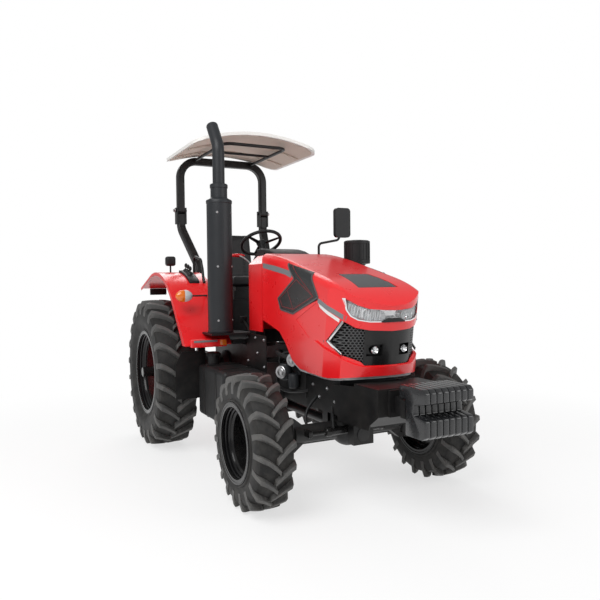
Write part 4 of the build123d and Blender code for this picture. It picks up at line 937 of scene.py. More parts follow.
def makeHeadlamps(facts):
    shape = mirrorHalf(facts["half"])
    cover, bowls, ribs, bump, line = (bmesh.new() for _ in range(5))
    skinPatch(cover, shape, onNose(facts["inset"]), 0.003, 0.03)
    skinPatch(bowls, shape, onNose(facts["backInset"]), 0.003, 0.02)
    skinPatch(bump, mirrorHalf(facts["bump"]), onNose(-0.006), 0.020, 0.03)
    wide, lean = facts["ribWide"], facts["ribLean"]
    for side in (1, -1):
        for across, up, radius in facts["bowls"]:
            # a spun bowl that opens forward
            seat = onNose(facts["backInset"], side)(across, up)
            yaw = side * facts["bowlYaw"] * across / hoodSkin["cornerHalf"]
            addSpun(bowls, [(run, share * radius) for run, share in facts["bowlLip"]],
                    Matrix.Translation(seat) @ Matrix.Rotation(yaw, 4, "Z"))
        for index in range(facts["ribs"]):
            # thin upright ribs that grow taller towards the rear tip
            across = facts["ribFirst"] + facts["ribPitch"] * index
            foot, head = (level + max(0.0, across - start) * rise
                          for level, start, rise in (facts["ribFoot"], facts["ribHead"]))
            rib = ((across - lean, head), (across - lean + wide, head), (across + wide, foot), (across, foot))
            skinPatch(ribs, rib, onNose(facts["inset"] + 0.008, side), 0.024, 0.03)
        lower = facts["half"][facts["lineFrom"]:]
        addRibbon(line, lower, facts["lineWide"], onNose(-0.001, side), 0.005, 0.03)
    finishPiece(cover, "lampCover", "hood", "clearLens", 40.0, ("headlamps",))
    finishPiece(bowls, "lampBowls", "hood", "chrome", 40.0)
    finishPiece(ribs, "lampRibs", "hood", "lampFrost", 40.0)
    finishPiece(bump, "lampBump", "hood", "blackGloss", 40.0)
    finishPiece(line, "lampLine", "hood", "chrome", 40.0)


makeHeadlamps(lampFacts)

# fog lamps in the grille pockets
fogFacts = {
    "across": 0.118, "up": 1.122, "radius": 0.027, "inset": 0.036,
    "lens": 0.82, "flatten": 0.35, "lensAt": 0.024,
    "lip": ((0.0, 1.0), (0.028, 1.0), (0.032, 0.95), (0.028, 0.80), (0.016, 0.55), (0.010, 0.15)),
}


def makeFogLamps(facts):
    rings, lenses = bmesh.new(), bmesh.new()
    rim = facts["radius"]
    for side in (1, -1):
        place = Matrix.Translation(onNose(facts["inset"], side)(facts["across"], facts["up"]))
        addSpun(rings, [(run, rim * share) for run, share in facts["lip"]], place, 32)
        dome = bmesh.new()
        bmesh.ops.create_uvsphere(dome, u_segments=24, v_segments=12, radius=rim * facts["lens"])
        cutMesh(dome, (0, 0, 0), (1, 0, 0), clear_inner=True)
        bmesh.ops.scale(dome, vec=(facts["flatten"], 1.0, 1.0), verts=dome.verts)
        bmesh.ops.translate(dome, vec=(facts["lensAt"], 0, 0), verts=dome.verts)
        bmesh.ops.transform(dome, matrix=place, verts=dome.verts)
        joinMesh(lenses, dome)
    finishPiece(rings, "fogLampRings", "hood", "chrome", 40.0)
    finishPiece(lenses, "fogLampLenses", "hood", "clearLens", 60.0)


makeFogLamps(fogFacts)
print("lamps made")

# smoked panels in the hood's flanks, with fine red lines, and the grey mesh on top
ventFacts = {
    "cover": ((1.568, 1.473), (1.648, 1.364), (1.690, 1.364), (1.640, 1.452), (1.925, 1.604), (1.800, 1.712),
              (1.620, 1.740), (1.668, 1.631)),
    "flank": ((1.787, 1.727), (2.165, 1.649), (2.292, 1.472), (1.888, 1.340), (1.672, 1.365), (1.622, 1.452),
              (1.915, 1.606)),
    "line": ((1.950, 1.600), (2.215, 1.478), (1.895, 1.374), (1.702, 1.390), (1.655, 1.452)),
    "cross": (((1.790, 1.525), (1.895, 1.374)), ((1.860, 1.710), (2.200, 1.490))),
    "frame": 0.012, "lineWide": 0.0045,
    "top": ((2.222, 0.124), (2.541, 0.157), (2.541, -0.157), (2.222, -0.124)),
}


def onTop(lift):
    # plan view: station and across, dropped onto the panel under the hood's opening
    tree = nodeTree("hood_meshes")

    def place(along, across):
        spot, _, _, _ = tree.ray_cast(Vector(at(along, across, 3.0)), Vector((0, 0, -1)))
        return Vector(at(along, across, spot.z + lift))
    return place


def makeVents(facts):
    covers, panels, edging, lines, panel = (bmesh.new() for _ in range(5))
    flank, line = facts["flank"], facts["line"]
    for side in (1, -1):
        skinPatch(covers, facts["cover"], onFlank(side, 0.0003), 0.004, 0.015)
        skinPatch(panels, flank, onFlank(side, 0.0026), 0.003, 0.012)
        addRibbon(edging, flank[1:] + flank[:1], facts["frame"], onFlank(side, 0.0044), 0.004, 0.012)
        for points in (line + line[:1], *facts["cross"]):
            addRibbon(lines, points, facts["lineWide"], onFlank(side, 0.0034), 0.002, 0.012)
    finishPiece(covers, "flankCovers", "hood", "redPaint", 40.0, ("hood_meshes",))
    finishPiece(panels, "flankPanels", "hood", "meshDark", 40.0)
    finishPiece(edging, "flankFrame", "hood", "smokeTrim", 40.0)
    finishPiece(lines, "flankLines", "hood", "redShade", 40.0)
    addHoneycomb(panel, facts["top"], onTop(0.007), 0.014, 0.004, 0.002)
    skinPatch(panel, facts["top"], onTop(0.0035), 0.002, 0.05)
    finishPiece(panel, "topMesh", "hood", "meshGrey", 30.0)


makeVents(ventFacts)
print("vents made")

# wheel nuts and hub bolts, in rings of reach, count, face and size
nutFacts = {
    "rear": ((0.294, 8, 0.851, 0.016), (0.118, 6, 0.874, 0.013)),
    "front": ((0.125, 8, 0.7045, 0.013),),
}


def makeNuts(facts):
    for end, rings in facts.items():
        along, _, up = wheelPlaces[end]
        for side, sign in sideSigns:
            mesh = bmesh.new()
            for reach, count, face, size in rings:
                for index in range(count):
                    turn = 2 * pi * index / count + 0.2
                    spot = at(along + reach * cos(turn), sign * face, up + reach * sin(turn))
                    addBolt(mesh, spot, (0, sign, 0), size)
            finishPiece(mesh, f"{end}WheelNuts.{side}", f"{end}_wheel_{side}", "bareSteel", 35.0)


makeNuts(nutFacts)
print("wheel nuts made")

# front weights: eight bevelled plates with a hand grip
weightFacts = {
    "count": 8, "pitch": 0.047, "thick": 0.043,
    "side": ((3.0954, 0.652), (3.255, 0.652), (3.280, 0.672), (3.280, 0.764), (3.264, 0.774), (3.176, 0.784),
             (3.176, 0.848), (3.264, 0.858), (3.280, 0.868), (3.280, 0.926), (3.256, 0.950), (3.035, 0.950),
             (3.035, 0.8725), (3.0954, 0.8725)),
    "ease": 0.0055,
    "boltAlong": 2.921, "boltAcross": (-0.17, 0.17), "boltUp": (0.800, 0.870), "boltSize": 0.012,
}


def makeWeights(facts):
    mesh = bmesh.new()
    first = -(facts["count"] - 1) * facts["pitch"] / 2
    for index in range(facts["count"]):
        near = first + index * facts["pitch"] - facts["thick"] / 2
        corners = [at(along, near, up) for along, up in facts["side"]]
        addPlate(mesh, corners, (0, facts["thick"], 0), facts["ease"])
    finishPiece(mesh, "frontWeightPlates", "chassis", "weightBlack", 35.0, ("front_weights",))
    spots = [(at(facts["boltAlong"], across, up), (1, 0, 0))
             for across in facts["boltAcross"] for up in facts["boltUp"]]
    makeBolts("bracketBolts", "chassis", spots, facts["boltSize"])


makeWeights(weightFacts)
print("weights made")

# canopy underside: a beige sheet under the roof, painted shade for the roof's underside, and its two cross
# ribs
canopyFacts = {
    "rear": -0.575, "front": 0.500, "half": 0.625, "corner": 0.11, "crown": 3.045, "drop": 0.130,
    "edgeHalf": 0.685, "wall": 0.030, "ribs": (-0.30, 0.10), "ribWide": 0.05, "ribHalf": 0.60,
}


def underRoof(facts, lift):
    radius = (facts["edgeHalf"] ** 2 + facts["drop"] ** 2) / (2 * facts["drop"])

    def place(along, across):
        fall = radius - sqrt(radius * radius - across * across)
        return Vector(at(along, across, facts["crown"] - facts["wall"] - fall + lift))
    return place


def roundedPlan(facts):
    points = []
    for turn, along, across in ((0, "front", 1), (1, "rear", 1), (2, "rear", -1), (3, "front", -1)):
        signAlong = -1 if along == "front" else 1
        corner = facts["corner"]
        u, v = facts[along] + signAlong * corner, across * (facts["half"] - corner)
        for step in range(7):
            angle = (turn + step / 6) * pi / 2
            points.append((u + corner * cos(angle), v + corner * sin(angle)))
    return points


def makeUndersideShade(facts):
    mesh = bmesh.new()
    # the beige sheet just under the roof is painted shade
    skinPatch(mesh, roundedPlan(facts), underRoof(facts, -0.0012), 0.004, 0.07)
    half = facts["ribHalf"]
    for along in facts["ribs"]:
        end = along + facts["ribWide"]
        skinPatch(mesh, ((along, -half), (end, -half), (end, half), (along, half)), underRoof(facts, -0.008),
                  0.012, 0.06)
    finishPiece(mesh, "canopyUndersideShade", "rops", "beigeLining", 40.0)


makeUndersideShade(canopyFacts)
print("canopy lining made")

# exhaust: collars of height and reach, and screws on the shield
exhaustFacts = {
    "along": 1.030, "across": -0.612, "shield": 0.107,
    "screwUps": (1.26, 1.72, 2.18), "screwTurns": (-0.5, 0.9, 2.6), "screwSize": 0.0065,
    "collars": (
        ((1.150, 0.078), (1.150, 0.108), (1.160, 0.111), (1.172, 0.111), (1.175, 0.108)),
        ((2.262, 0.108), (2.266, 0.112), (2.286, 0.112), (2.292, 0.108), (2.306, 0.080), (2.312, 0.073)),
        ((2.395, 0.072), (2.397, 0.077), (2.424, 0.077), (2.426, 0.072), (2.434, 0.060), (2.436, 0.052)),
    ),
}


def roundOut(turn):
    return Vector((cos(turn), sin(turn), 0.0))


def makeExhaustTrim(facts):
    mesh = bmesh.new()
    along, across = facts["along"], facts["across"]
    for collar in facts["collars"]:
        addSpun(mesh, collar, facing(at(along, across, 0.0), (0, 0, 1)), 48)
    finishPiece(mesh, "exhaustCollars", "chassis", "sootPaint", 40.0)
    spots = [(Vector(at(along, across, up)) + roundOut(turn) * facts["shield"], roundOut(turn))
             for up in facts["screwUps"] for turn in facts["screwTurns"]]
    makeBolts("exhaustScrews", "chassis", spots, facts["screwSize"])


makeExhaustTrim(exhaustFacts)

# air pre-cleaner: base ring, ribs and cap on the bowl
bowlFacts = {
    "along": 1.550, "across": 0.458, "radius": 0.108, "ribs": 20, "ribHalf": 0.004, "ribDepth": 0.005,
    "ribFoot": 1.765, "ribHead": 1.909,
    "rings": (
        ((1.690, 0.040), (1.705, 0.055), (1.731, 0.0792), (1.735, 0.1078), (1.739, 0.114), (1.765, 0.114),
         (1.769, 0.110)),
        ((1.905, 0.110), (1.908, 0.113), (1.927, 0.113), (1.935, 0.099), (1.939, 0.055), (1.940, 0.0)),
    ),
}


def makePreCleaner(facts):
    mesh = bmesh.new()
    centre = Vector(at(facts["along"], facts["across"], 0.0))
    for ring in facts["rings"]:
        addSpun(mesh, ring, facing(centre, (0, 0, 1)), 48)
    foot, head = Vector((0, 0, facts["ribFoot"])), Vector((0, 0, facts["ribHead"]))
    for index in range(facts["ribs"]):
        turn = 2 * pi * index / facts["ribs"]
        out = roundOut(turn)
        across = roundOut(turn + pi / 2) * facts["ribHalf"]
        middle = centre + out * facts["radius"]
        left, right = middle + across, middle - across
        addPlate(mesh, (left + foot, right + foot, right + head, left + head), out * facts["ribDepth"])
    finishPiece(mesh, "preCleanerTrim", "chassis", "plainPlastic", 35.0)


makePreCleaner(bowlFacts)
print("exhaust and intake trimmed")

# lamps on the fenders
lensFacts = {
    "indicator": (0.782, 0.860, 1.468), "lens": (0.036, 0.078, 0.054),
    "shell": ((-0.022, 0.0), (-0.022, 0.038), (-0.012, 0.046), (0.010, 0.048), (0.016, 0.044)),
    "arm": ((0.780, 0.815), (0.764, 0.660), (0.740, 0.632), (0.582, 0.600)), "armRadius": 0.007,
    "work": (-0.250, 0.710, 1.812), "workDepth": 0.080, "workHalf": 0.050, "workUp": (-0.052, 0.048),
    "workEdge": 0.024, "fenderCrown": 1.664, "stalkRadius": 0.009, "stalkTop": 0.045,
    "stalkFoot": ((-0.004, 0.0), (-0.004, 0.030), (0.006, 0.028), (0.014, 0.012), (0.016, 0.0)),
    "workLens": ((-0.004, 0.036), (0.004, 0.036), (0.008, 0.031), (0.011, 0.016), (0.0115, 0.0)),
    "tail": (-0.665, 0.730, 1.4907), "tailHalf": (0.090, 0.035), "tailDepth": 0.025, "tailEdge": 0.008,
    "tailLensHalf": (0.088, 0.033), "tailLens": (-0.010, 0.001), "tailLensEdge": 0.005,
}


def addLens(mesh, spot, size, clear=None):
    # a ball, or the half of one that lies towards clear
    ball = bmesh.new()
    bmesh.ops.create_uvsphere(ball, u_segments=28, v_segments=16, radius=1.0)
    if clear:
        cutMesh(ball, (0, 0, 0), clear, clear_inner=True)
        bmesh.ops.edgeloop_fill(ball, edges=[e for e in ball.edges if e.is_boundary])
    bmesh.ops.scale(ball, vec=size, verts=ball.verts)
    bmesh.ops.translate(ball, vec=spot, verts=ball.verts)
    joinMesh(mesh, ball)


def makeLampShells(facts):
    # housings, stalks and arms behind the lenses
    mesh = bmesh.new()
    for sign in (1, -1):
        along, across, up = facts["indicator"]
        addSpun(mesh, facts["shell"], facing(at(along, sign * across, up), (1, 0, 0)), 32)
        addTube(mesh, [at(s, sign * y, up) for s, y in facts["arm"]], facts["armRadius"])
        along, across, up = facts["work"]
        half = facts["workHalf"]
        foot, head = facts["workUp"]
        addBox(mesh, at(along, sign * across - half, up + foot),
               at(along + facts["workDepth"], sign * across + half, up + head), facts["workEdge"], 5)
        stalk = along + facts["workDepth"] / 2
        crown = at(stalk, sign * across, facts["fenderCrown"])
        addTube(mesh, (crown, at(stalk, sign * across, up - facts["stalkTop"])), facts["stalkRadius"])
        addSpun(mesh, facts["stalkFoot"], facing(crown, (0, 0, 1)), 24)
        along, across, up = facts["tail"]
        halfWide, halfHigh = facts["tailHalf"]
        addBox(mesh, at(along, sign * across - halfWide, up - halfHigh),
               at(along + facts["tailDepth"], sign * across + halfWide, up + halfHigh), facts["tailEdge"], 3)
    finishPiece(mesh, "lampShells", "chassis", "plainPlastic", 40.0, ("fender_lamps",))


def makeFenderLenses(facts):
    amber, clear, red, work = (bmesh.new() for _ in range(4))
    for sign in (1, -1):
        along, across, up = facts["indicator"]
        for half, way in ((amber, sign), (clear, -sign)):
            addLens(half, at(along, sign * across, up), facts["lens"], (0, way, 0))
        along, across, up = facts["tail"]
        back, front = facts["tailLens"]
        halfWide, halfHigh = facts["tailLensHalf"]
        addBox(red, at(along + back, sign * across - halfWide, up - halfHigh),
               at(along + front, sign * across + halfWide, up + halfHigh), facts["tailLensEdge"])
        along, across, up = facts["work"]
        addSpun(work, facts["workLens"], facing(at(along, sign * across, up), (-1, 0, 0)))
    finishPiece(amber, "indicatorAmber", "chassis", "amberLens", 50.0)
    finishPiece(clear, "indicatorClear", "chassis", "lampFrost", 50.0)
    finishPiece(red, "tailLenses", "chassis", "redLens", 40.0)
    finishPiece(work, "workLampLenses", "chassis", "lampFrost", 40.0)


makeLampShells(lensFacts)
makeFenderLenses(lensFacts)

# reflector box under the fender's front foot, on both sides: along, across, up, edge and looks
reflectorFacts = {
    "fenderFootBoxes": ((0.985, 1.050), (0.560, 0.880), (1.030, 1.100), 0.010, "redPaint", "red_paint"),
    "reflectorStrips": ((1.048, 1.053), (0.650, 0.860), (1.074, 1.092), 0.001, "greyTrim", "black_plastic"),
    "footReflectors": ((1.048, 1.054), (0.568, 0.628), (1.042, 1.090), 0.002, "amberLens", "lamp_clear"),
}


def addMirroredBox(mesh, along, across, up, edge):
    for sign in (1, -1):
        near, far = sorted(sign * value for value in across)
        addBox(mesh, at(along[0], near, up[0]), at(along[1], far, up[1]), edge)


def makeReflectors(facts):
    for name, (along, across, up, edge, finish, slot) in facts.items():
        mesh = bmesh.new()
        addMirroredBox(mesh, along, across, up, edge)
        finishPiece(mesh, name, "chassis", finish, 35.0)


makeReflectors(reflectorFacts)
print("fender lamps made")

# mirror glass, and the foot of its arm on the cowl
mirrorFacts = {
    "along": 1.1075, "across": 0.560, "up": 2.130, "half": (0.070, 0.127), "foot": (1.150, 0.300),
    "glass": 0.003,
    "corner": ((-1, -0.85), (-0.75, -1), (0.75, -1), (1, -0.85), (1, 0.85), (0.75, 1), (-0.75, 1),
               (-1, 0.85)),
    "footLine": ((-0.012, 0.0), (-0.012, 0.046), (0.006, 0.045), (0.014, 0.036), (0.018, 0.018),
                 (0.030, 0.014), (0.032, 0.0)),
}


def makeMirrorGlass(facts):
    mesh = bmesh.new()
    halfWide, halfHigh = facts["half"]
    corners = [at(facts["along"], facts["across"] + u * halfWide, facts["up"] + v * halfHigh)
               for u, v in facts["corner"]]
    addPlate(mesh, corners, (-facts["glass"], 0, 0))
    finishPiece(mesh, "mirrorGlass", "chassis", "chrome", 30.0)
    mesh = bmesh.new()
    above = Vector(at(*facts["foot"], 3.0))
    spot, normal, _, _ = nodeTree("rear_cowl").ray_cast(above, Vector((0, 0, -1)))
    addSpun(mesh, facts["footLine"], facing(spot, normal), 36)
    finishPiece(mesh, "mirrorFoot", "chassis", "plainPlastic", 40.0)


makeMirrorGlass(mirrorFacts)

# tank straps, filler cap, horn discs beside the engine and bolts on the side shields
flankFacts = {
    "straps": (0.955, 1.245), "tank": ((-0.7535, -0.3965), (0.4165, 0.8655)),
    "strapWide": 0.040, "turn": 0.03,
    "cap": (0.905, -0.640, 0.962), "capRibs": 12, "capReach": 0.060, "capRib": (0.006, 0.020),
    "capTop": ((0.0, 0.058), (0.008, 0.054), (0.012, 0.040), (0.013, 0.0)),
    "horns": ((1.628, -0.320, 0.859), (1.790, -0.300, 0.973)), "hornRadius": 0.052,
    "hornLine": ((-0.020, 0.0), (-0.020, 0.9), (0.0, 1.0), (0.006, 1.0), (0.010, 0.9), (0.007, 0.62),
                 (0.012, 0.5), (0.013, 0.0)),
    "hornWay": (0.45, -1.0, 0.0), "stemAcross": (-0.24, -0.195), "stemRadius": 0.010,
    "bolts": ((1.09, 1.105), (1.26, 1.112), (1.44, 1.105), (1.09, 0.90), (1.30, 0.985), (1.44, 0.88)),
    "shieldFace": 0.384, "boltSize": 0.009,
}


def makeFlankGear(facts):
    straps, cap, horns = (bmesh.new() for _ in range(3))
    (outer, inner), (foot, head) = facts["tank"]
    turn = facts["turn"]
    for along in facts["straps"]:
        end = along + facts["strapWide"]
        for low, high in (
            ((outer - 0.001, foot + turn), (outer + 0.004, head - turn)),
            ((outer + turn, head - 0.004), (inner - turn, head + 0.001)),
            ((outer + turn, foot - 0.001), (inner - turn, foot + 0.004)),
        ):
            addBox(straps, at(along, *low), at(end, *high), 0.001)
    along, across, up = facts["cap"]
    half, high = facts["capRib"]
    for index in range(facts["capRibs"]):
        out = roundOut(2 * pi * index / facts["capRibs"]) * facts["capReach"]
        spot = Vector(at(along, across, up - 0.022)) + out
        addBox(cap, spot - Vector((half, half, 0.0)), spot + Vector((half, half, high)), 0.002, 1)
    addSpun(cap, facts["capTop"], facing(at(along, across, up - 0.001), (0, 0, 1)))
    wide = facts["hornRadius"]
    for along, across, up in facts["horns"]:
        addSpun(horns, [(run, share * wide) for run, share in facts["hornLine"]],
                facing(at(along, across, up), facts["hornWay"]), 32)
        middle, end = facts["stemAcross"]
        stem = (at(along, across + 0.02, up), at(along, middle, up), at(along, end, up - 0.02))
        addTube(horns, stem, facts["stemRadius"])
    finishPiece(straps, "tankStraps", "chassis", "blackFrame", 35.0)
    finishPiece(cap, "fillerCap", "chassis", "plainPlastic", 35.0)
    finishPiece(horns, "hornDiscs", "chassis", "bareSteel", 40.0)
    spots = [(at(along, sign * facts["shieldFace"], up), (0, sign, 0))
             for along, up in facts["bolts"] for sign in (1, -1)]
    makeBolts("shieldBolts", "chassis", spots, facts["boltSize"])


makeFlankGear(flankFacts)
print("tank and flank gear made")

# engine dressing that shows under the hood: filters of sign, station, height, radius and length,
# and hoses of radius and points, each point's reach counted from the block's side
engineFacts = {
    "half": 0.215, "stand": 0.005,
    "filters": ((-1, 1.62, 0.86, 0.052, 0.13), (-1, 1.75, 0.80, 0.045, 0.11), (1, 1.70, 0.84, 0.052, 0.14),
                (1, 1.48, 0.82, 0.045, 0.12)),
    "hoses": (
        (0.019, ((1.42, 0.0, 1.00), (1.48, 0.09, 1.02), (1.70, 0.10, 0.98), (1.86, 0.03, 1.02),
                 (2.10, -0.0215, 1.05), (2.33, -0.035, 1.08))),
        (0.012, ((1.36, 0.0, 0.78), (1.40, 0.06, 0.74), (1.60, 0.07, 0.70), (1.80, 0.04, 0.72),
                 (1.88, -0.015, 0.74))),
        (0.010, ((1.50, 0.0, 0.93), (1.56, 0.10, 0.90), (1.66, 0.11, 1.04), (1.78, 0.0, 1.03))),
    ),
}


def makeEngineGear(facts):
    filters, hoses = bmesh.new(), bmesh.new()
    block = facts["half"]
    for sign, along, up, radius, length in facts["filters"]:
        across = sign * (block + radius + facts["stand"])
        end = length / 2
        addSpun(filters, ((-end, 0.0), (-end, radius * 0.8), (-end + 0.008, radius), (end - 0.01, radius),
                          (end, radius * 0.9), (end + 0.006, radius * 0.4), (end + 0.006, 0.0)),
                facing(at(along, across, up), (0, 0, 1)))
        near, far = (block - 0.01, across + 0.02) if sign > 0 else (-block - 0.02, -block + 0.01)
        top = up + end
        addBox(filters, at(along - 0.03, near, top - 0.01), at(along + 0.03, far, top + 0.03), 0.006)
    for sign in (1, -1):
        for radius, points in facts["hoses"]:
            addTube(hoses, atSide(sign, [(along, block + out, up) for along, out, up in points]), radius)
    finishPiece(filters, "engineFilters", "chassis", "sootPaint", 40.0)
    finishPiece(hoses, "engineHoses", "chassis", "plainPlastic", 50.0)


makeEngineGear(engineFacts)
print("engine gear made")

# black sleeves over the rear bar axles
axleFacts = {"radius": 0.049, "from": 0.878, "to": 1.064}


def makeAxleEnds(facts):
    along, _, up = wheelPlaces["rear"]
    wide, run = facts["radius"], facts["to"] - facts["from"]
    line = ((0.0, wide + 0.02), (0.02, wide + 0.018), (0.028, wide), (run - 0.006, wide), (run, wide - 0.006),
            (run + 0.0004, 0.0))
    for side, sign in sideSigns:
        mesh = bmesh.new()
        addSpun(mesh, line, facing(at(along, sign * facts["from"], up), (0, sign, 0)), 40)
        finishPiece(mesh, f"axleBar.{side}", f"rear_wheel_{side}", "blackGloss", 35.0)


makeAxleEnds(axleFacts)

# steering cylinder and hoses on the front axle, frame bolts, and the guard over the PTO stub
gearFacts = {
    "cylinder": (2.231, 0.493), "ram": (0.395, 0.014),
    "halfLine": ((0.252, 0.014), (0.252, 0.0272), (0.240, 0.034), (0.210, 0.034), (0.206, 0.0306)),
    "clevis": ((2.136, 2.253), (0.365, 0.399), (0.469, 0.517), 0.006),
    "hoses": (((2.020, 0.200, 0.720), (2.030, 0.280, 0.660), (2.060, 0.330, 0.580), (2.090, 0.335, 0.530)),
              ((2.236, 0.190, 0.510), (2.275, 0.225, 0.590), (2.240, 0.200, 0.680))),
    "hoseRadius": 0.011, "frameHalf": 0.205, "boltSize": 0.010,
    "bolts": ((1.960, 0.800), (2.060, 0.720), (2.180, 0.800), (2.290, 0.720), (2.400, 0.800)),
    "guard": ((-0.455, -0.328), 0.120, (0.585, 0.745)), "guardWall": 0.006, "guardCut": (0.045, 0.050),
}


def makeAxleGear(facts):
    cylinder, hoses, guard = (bmesh.new() for _ in range(3))
    along, up = facts["cylinder"]
    ramReach, ramRadius = facts["ram"]
    half = ((ramReach, 0.0), (ramReach, ramRadius), *facts["halfLine"])
    line = [(-run, reach) for run, reach in half] + list(reversed(half))
    addSpun(cylinder, line, facing(at(along, 0.0, up), (0, 1, 0)), 32)
    addMirroredBox(cylinder, *facts["clevis"])
    for sign in (1, -1):
        for hose in facts["hoses"]:
            addTube(hoses, atSide(sign, hose), facts["hoseRadius"])
    finishPiece(cylinder, "steeringCylinder", "chassis", "blackGloss", 35.0)
    finishPiece(hoses, "axleHoses", "chassis", "plainPlastic", 50.0)
    spots = [(at(s, sign * facts["frameHalf"], z), (0, sign, 0))
             for sign in (1, -1) for s, z in facts["bolts"]]
    makeBolts("frameBolts", "chassis", spots, facts["boltSize"])
    (rear, front), half, (foot, head) = facts["guard"]
    cutAlong, cutUp = facts["guardCut"]
    wall = facts["guardWall"]
    addBox(guard, at(rear, -half, head - wall), at(front, half, head), 0.002)
    outline = ((front, foot), (rear + cutAlong, foot), (rear, foot + cutUp), (rear, head), (front, head))
    for near in (half - wall, -half):
        addPlate(guard, [at(s, near, z) for s, z in outline], (0, wall, 0), 0.0015)
    finishPiece(guard, "ptoGuard", "chassis", "blackFrame", 35.0)


makeAxleGear(gearFacts)
print("axle gear made")

# dash: a dark cover on the cowl, gauges facing the driver, a red lever and pedals
dashFacts = {
    "cover": ((0.835, 1.852), (1.200, 1.820), (1.205, 1.832), (1.120, 1.860), (1.000, 1.882), (0.880, 1.892),
              (0.815, 1.884)), "coverHalf": 0.180, "coverEase": 0.011,
    "gauges": ((-0.095, 0.034), (0.0, 0.046), (0.095, 0.034)), "gaugeAlong": 0.755, "gaugeUp": 1.7905,
    "slope": (-0.625, 0.0, 0.781),
    "lever": ((0.730, -0.180, 1.740), (0.690, -0.260, 1.835), (0.650, -0.300, 1.838)),
    "knob": (0.021, 0.075, 0.017),
    "pedals": (-0.25, -0.15, 0.19), "padHalf": 0.035, "rungHalf": 0.030,
    "rungs": 4, "rungFirst": 1.204, "rungPitch": 0.016,
    "stem": ((0.655, 1.225), (0.70, 1.20), (0.79, 1.135), (0.81, 1.060)), "stemRadius": 0.010,
}


def makeDash(facts):
    cover, rims, dials, lever, knob, pads, stems = (bmesh.new() for _ in range(7))
    half = facts["coverHalf"]
    corners = [at(along, -half, up) for along, up in facts["cover"]]
    addPlate(cover, corners, (0, 2 * half, 0), facts["coverEase"], 4)
    for across, reach in facts["gauges"]:
        # set on the dash's upper slope, which faces the driver
        place = facing(at(facts["gaugeAlong"], across, facts["gaugeUp"]), facts["slope"])
        addSpun(rims, ((-0.004, reach), (0.006, reach), (0.008, reach - 0.003), (0.003, reach - 0.006)),
                place, 36)
        addSpun(dials, ((0.002, reach - 0.005), (0.003, reach - 0.006), (0.003, 0.006), (0.005, 0.004),
                        (0.005, 0.0)), place, 36)
    addTube(lever, atSide(1, facts["lever"]), 0.007)
    addLens(knob, at(*facts["lever"][-1]), facts["knob"])
    half, rungHalf = facts["padHalf"], facts["rungHalf"]
    for across in facts["pedals"]:
        addBox(pads, at(0.640, across - half, 1.195), at(0.664, across + half, 1.262), 0.006)
        for rung in range(facts["rungs"]):
            up = facts["rungFirst"] + facts["rungPitch"] * rung
            addBox(pads, at(0.636, across - rungHalf, up), at(0.642, across + rungHalf, up + 0.006), 0.001, 1)
        addTube(stems, [at(along, across, up) for along, up in facts["stem"]], facts["stemRadius"])
    finishPiece(cover, "dashCover", "chassis", "plainPlastic", 35.0)
    finishPiece(rims, "gaugeRims", "chassis", "chrome", 35.0)
    finishPiece(dials, "gaugeDials", "chassis", "lampFrost", 35.0)
    finishPiece(lever, "throttleStem", "chassis", "bareSteel", 50.0)
    finishPiece(knob, "throttleKnob", "chassis", "redPaint", 50.0)
    finishPiece(pads, "pedalPads", "chassis", "plainPlastic", 35.0)
    finishPiece(stems, "pedalStems", "chassis", "blackFrame", 50.0)


makeDash(dashFacts)
print("dash made")

# lever console on the right fender's crown
consoleFacts = {
    "from": 0.060, "to": 0.420, "across": (-0.700, -0.600), "arch": (0.0054, 0.8661, 0.825), "stand": 0.022,
    "steps": 8, "sink": 0.006, "levers": (0.130, 0.200, 0.270), "reach": 0.075, "knob": (0.016, 0.016, 0.024),
    "boot": ((0.016, 0.030), (0.034, 0.022), (0.044, 0.010), (0.046, 0.006)),
}


def archHeight(facts, along):
    middle, level, radius = facts["arch"]
    return level + sqrt(radius * radius - (along - middle) ** 2)


def makeConsole(facts):
    run = facts["to"] - facts["from"]
    steps = [facts["from"] + run * index / facts["steps"] for index in range(facts["steps"] + 1)]
    near, far = facts["across"]
    crown = [at(along, near, archHeight(facts, along) + facts["stand"]) for along in steps]
    sole = [at(along, near, archHeight(facts, along) - facts["sink"]) for along in reversed(steps)]
    console, stems, knobs = (bmesh.new() for _ in range(3))
    addPlate(console, crown + sole, (0, far - near, 0), 0.005)
    for along in facts["levers"]:
        foot = Vector(at(along, (near + far) / 2, archHeight(facts, along)))
        tip = foot + Vector((-0.018, 0.010, facts["reach"]))
        addTube(stems, (foot, foot + Vector((0.0, 0.0, 0.05)), tip), 0.0055)
        addSpun(stems, facts["boot"], facing(foot, (0, 0, 1)), 20)
        addLens(knobs, tip, facts["knob"])
    finishPiece(console, "leverConsole", "chassis", "plainPlastic", 35.0)
    finishPiece(knobs, "leverKnobs", "chassis", "plainPlastic", 50.0)
    finishPiece(stems, "leverStems", "chassis", "blackFrame", 50.0)


makeConsole(consoleFacts)
print("console made")


# padded seat: swollen cushions with sewn channels
padFacts = {
    "seat_cushion": {"name": "seatPad", "axis": 0, "lines": (-0.11, 0.0, 0.11), "face": 2},
    "seat_back": {"name": "backPad", "axis": 1, "lines": (-0.10, 0.10), "face": 0},
}
padShape = {
    "shrink": 0.012, "cap": 0.012, "voxel": 0.009, "pressure": 4.0, "steps": 20, "channelHalf": 0.022,
    "channelDepth": 0.011, "facing": 0.55, "fill": 0.8,
}


def bakeModifiers(piece):
    # the evaluated mesh takes the place of the piece's own
    graph = bpy.context.evaluated_depsgraph_get()
    fresh = bpy.data.meshes.new_from_object(piece.evaluated_get(graph))
    piece.modifiers.clear()
    piece.data = fresh


